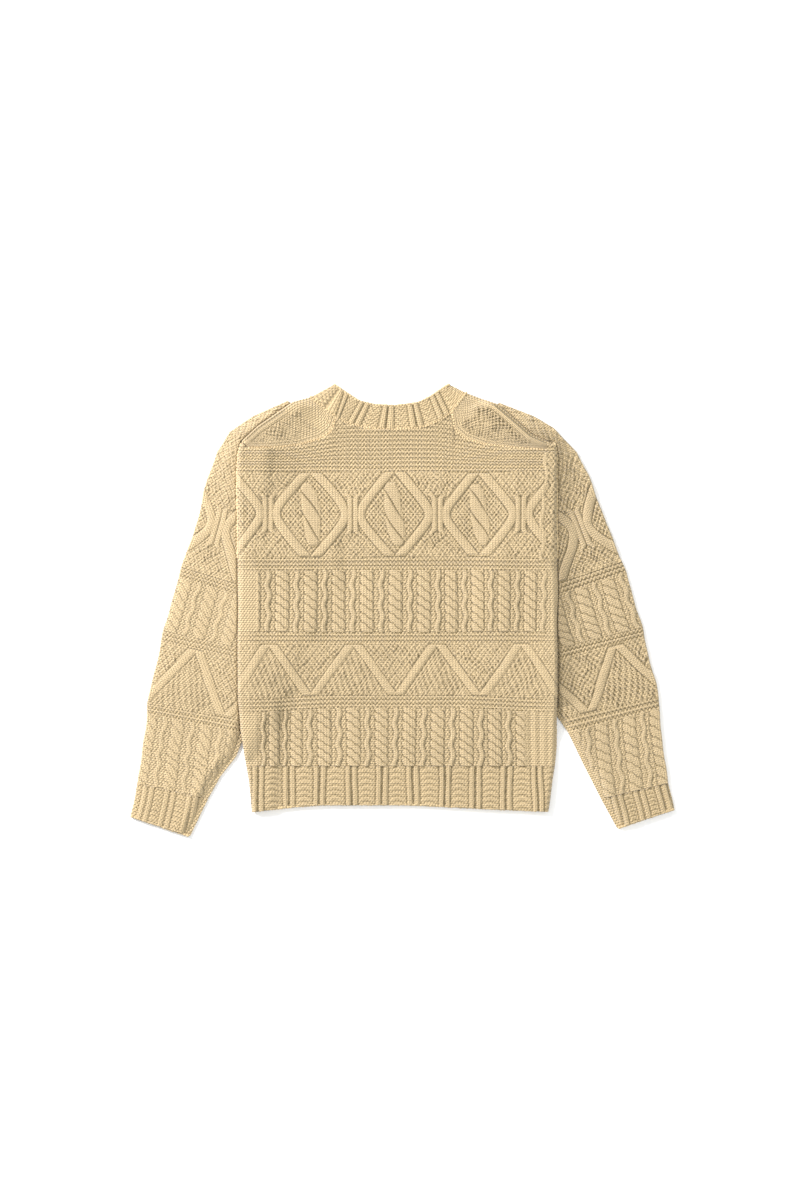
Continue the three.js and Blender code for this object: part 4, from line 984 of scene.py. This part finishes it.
def loop_row(name, line, slot, **sizes):
    """A row of loops along a line of points, in millimetres, as one plain mesh."""
    path = bpy.data.meshes.new(name + "_line")
    places = (np.asarray(line) - [CENTRE_SHIFT, 0, 0]) * MM
    path.from_pydata(places.tolist(), [(i, i + 1) for i in range(len(places) - 1)], [])
    carrier = placed(name + "_line", path)
    modifier = carrier.modifiers.new("loops", "NODES")
    modifier.node_group = LOOP_ROW
    for socket in LOOP_ROW.interface.items_tree:
        if socket.in_out == "INPUT" and socket.name in sizes:
            modifier[socket.identifier] = sizes[socket.name]
        elif socket.in_out == "INPUT" and socket.name == "Wool":
            modifier[socket.identifier] = MATERIALS[slot]
    shown = carrier.evaluated_get(bpy.context.evaluated_depsgraph_get())
    piece = placed(name, bpy.data.meshes.new_from_object(shown))
    bpy.data.objects.remove(carrier)
    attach(piece, ROOT)
    return piece


# The sweater
SPLIT = 70  # the upper and lower parts of the back meet in the valley of a garter ridge
front = panel("front_panel", FRONT, FRONT_TOP, HEM_START, YOKE_TOP, "wool_knit", back_height, 2.4)
back_upper = panel("back_upper", BACK, BACK_TOP, SPLIT, YOKE_TOP, "wool_knit", back_height)
back_lower = panel("back_lower", BACK, BACK_TOP, HEM_START, SPLIT, "wool_knit", back_height)
hem_front = hem("hem_front", FRONT)
hem_back = hem("hem_back", BACK)
strap_left = strap("strap_left", LEFT_STRAP, 1.7)
strap_right = strap("strap_right", RIGHT_STRAP, 2.5)
neck = neckband("neck_rib")
arms = {}
for label, side, sleeve, knitting in (
    ("left", LEFT, LEFT_SLEEVE, LEFT_KNITTING), ("right", RIGHT, RIGHT_SLEEVE, RIGHT_KNITTING),
):
    end = len(sleeve["part"]) - 1
    arms["sleeve_" + label] = tube(f"arm_{label}", side, sleeve, knitting, 0, end - 1, 0.001, "wool_knit")
    arms["cuff_" + label] = tube(f"wrist_{label}", side, sleeve, knitting, end - 1, end, 0, "wool_rib")


# Its cast-off edges and seams
LOOP_ROW = loop_row_nodes()
EDGE_LOOPS = {"Spacing": 0.0046, "Length": 0.0062, "Width": 0.0042, "Lean": 0.5}
SEAM_LOOPS = {"Spacing": 0.0042, "Length": 0.0052, "Width": 0.003, "Lean": 0.75}
ARMHOLE_LOOPS = {"Spacing": 0.0052, "Length": 0.0072, "Width": 0.0062, "Lean": 0.4}


def along_table(rows, keys, spacing=8):
    """Points along a line that a table gives, at even distances."""
    x, y = rows[keys[0]], rows[keys[1]]
    at = np.concatenate([[0], np.cumsum(np.hypot(np.diff(x), np.diff(y)))])
    places = steps(0, at[-1], spacing)
    return np.interp(places, at, x), np.interp(places, at, y)


def on_top(x, y, height):
    return np.stack([x, y, height + lift(x, y)], axis=-1)


def strap_seam(label, rows, seed):
    line = on_top(*along_table(rows, ("back_x", "back_y")), TUBE + 0.2)
    return loop_row("strap_seam_" + label, line, "wool_knit", Seed=seed, **SEAM_LOOPS)


def armhole_seam(label, side, seed):
    y = steps(247, 80, 8)
    x = side_edge(side, y) - side * 1.2
    line = np.stack([x, y, np.full_like(y, LIFT + MIDDLE - 0.6)], axis=-1)
    return loop_row("armhole_seam_" + label, line, "wool_knit", Seed=seed, **ARMHOLE_LOOPS)


def cast_off_cuff(label, side, sleeve, seed):
    ends = {
        "x": np.array([sleeve["outer_x"][-1] - 4, sleeve["inner_x"][-1] + 4]) * side,
        "y": np.array([sleeve["outer_y"][-1], sleeve["inner_y"][-1]]) + 1.2,
    }
    x, y = along_table(ends, ("x", "y"))
    line = np.stack([x, y, np.full_like(x, TUBE - 0.9)], axis=-1)
    return loop_row("cast_off_cuff_" + label, line, "wool_rib", Seed=seed, **EDGE_LOOPS)


hem_x, hem_y = along_table(HEM_EDGE, ("x", "y"))
inside_hem = np.abs(hem_x) < 208
hem_line = on_top(hem_x[inside_hem], hem_y[inside_hem] + 1.2, TUBE - 0.9)
cast_off_hem = loop_row("cast_off_hem", hem_line, "wool_rib", Seed=1, **EDGE_LOOPS)
neck_back = {key: column[: NECK_FOLD + 1] for key, column in NECK.items()}
neck_x, neck_y = along_table(neck_back, ("edge_x", "edge_y"))
neck_line = on_top(neck_x, neck_y - 1.6, TUBE - 0.6)
cast_off_neck = loop_row("cast_off_neck", neck_line, "wool_rib", Seed=2, **EDGE_LOOPS)
neck_seam_line = on_top(*along_table(neck_back, ("seam_x", "seam_y")), TUBE + 0.1)
neck_seam = loop_row("neck_seam", neck_seam_line, "wool_rib", Seed=3, **SEAM_LOOPS)
for label, side, rows, sleeve, seed in (
    ("left", LEFT, LEFT_STRAP, LEFT_SLEEVE, 4), ("right", RIGHT, RIGHT_STRAP, RIGHT_SLEEVE, 5),
):
    strap_seam(label, rows, seed)
    armhole_seam(label, side, seed + 2)
    cast_off_cuff(label, side, sleeve, seed + 4)

for piece, node_name in (
    (front, "front"), (back_upper, "back"), (back_lower, "back"), (hem_front, "hem_rib_front"),
    (hem_back, "hem_rib_back"), (strap_left, "saddle_left"), (strap_right, "saddle_right"),
    (neck, "neckband"), *((arms[key], key) for key in arms),
):
    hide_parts(node_name)


# Floor, light and camera
def floor():
    half = 6
    corners = [(-half, -half, 0), (half, -half, 0), (half, half, 0), (-half, half, 0)]
    mesh = bpy.data.meshes.new("floor")
    mesh.from_pydata(corners, [], [(0, 1, 2, 3)])
    surface = placed("floor", mesh)
    surface.location.z = -0.0005
    paper = bpy.data.materials.new("white_paper")
    paper.use_nodes = True
    paper.node_tree.nodes["Principled BSDF"].inputs["Base Color"].default_value = (0.96, 0.965, 0.975, 1)
    paper.node_tree.nodes["Principled BSDF"].inputs["Roughness"].default_value = 0.9
    mesh.materials.append(paper)


def softbox(name, place, size, power, colour):
    light = bpy.data.lights.new(name, "AREA")
    light.energy = power
    light.size = size
    light.color = colour
    lamp = placed(name, light)
    lamp.location = place
    lamp.rotation_euler = (-lamp.location).to_track_quat("-Z", "Y").to_euler()


def daylight(strength):
    world = bpy.data.worlds.new("room")
    world.use_nodes = True
    world.node_tree.nodes["Background"].inputs["Color"].default_value = (0.96, 0.98, 1.0, 1)
    world.node_tree.nodes["Background"].inputs["Strength"].default_value = strength
    bpy.context.scene.world = world
    bpy.context.scene.view_settings.view_transform = "Standard"


def camera():
    """Straight above. The photo's 1200 pixels of height show 1.8 m of floor."""
    height, shown = 6.0, 1.8
    lens = bpy.data.cameras.new("camera")
    lens.sensor_width = 36
    lens.lens = lens.sensor_width * height / shown
    eye = placed("camera", lens)
    eye.location = (-0.00325, 0.015, height)  # above the middle of the photo
    bpy.context.scene.camera = eye


floor()
softbox("key_light", (-3.0, 2.1, 2.4), 1.5, 350, (1.0, 0.96, 0.985))
softbox("fill_light", (1.5, -0.5, 2.8), 2.5, 36, (1.0, 0.97, 0.88))
daylight(0.78)
camera()
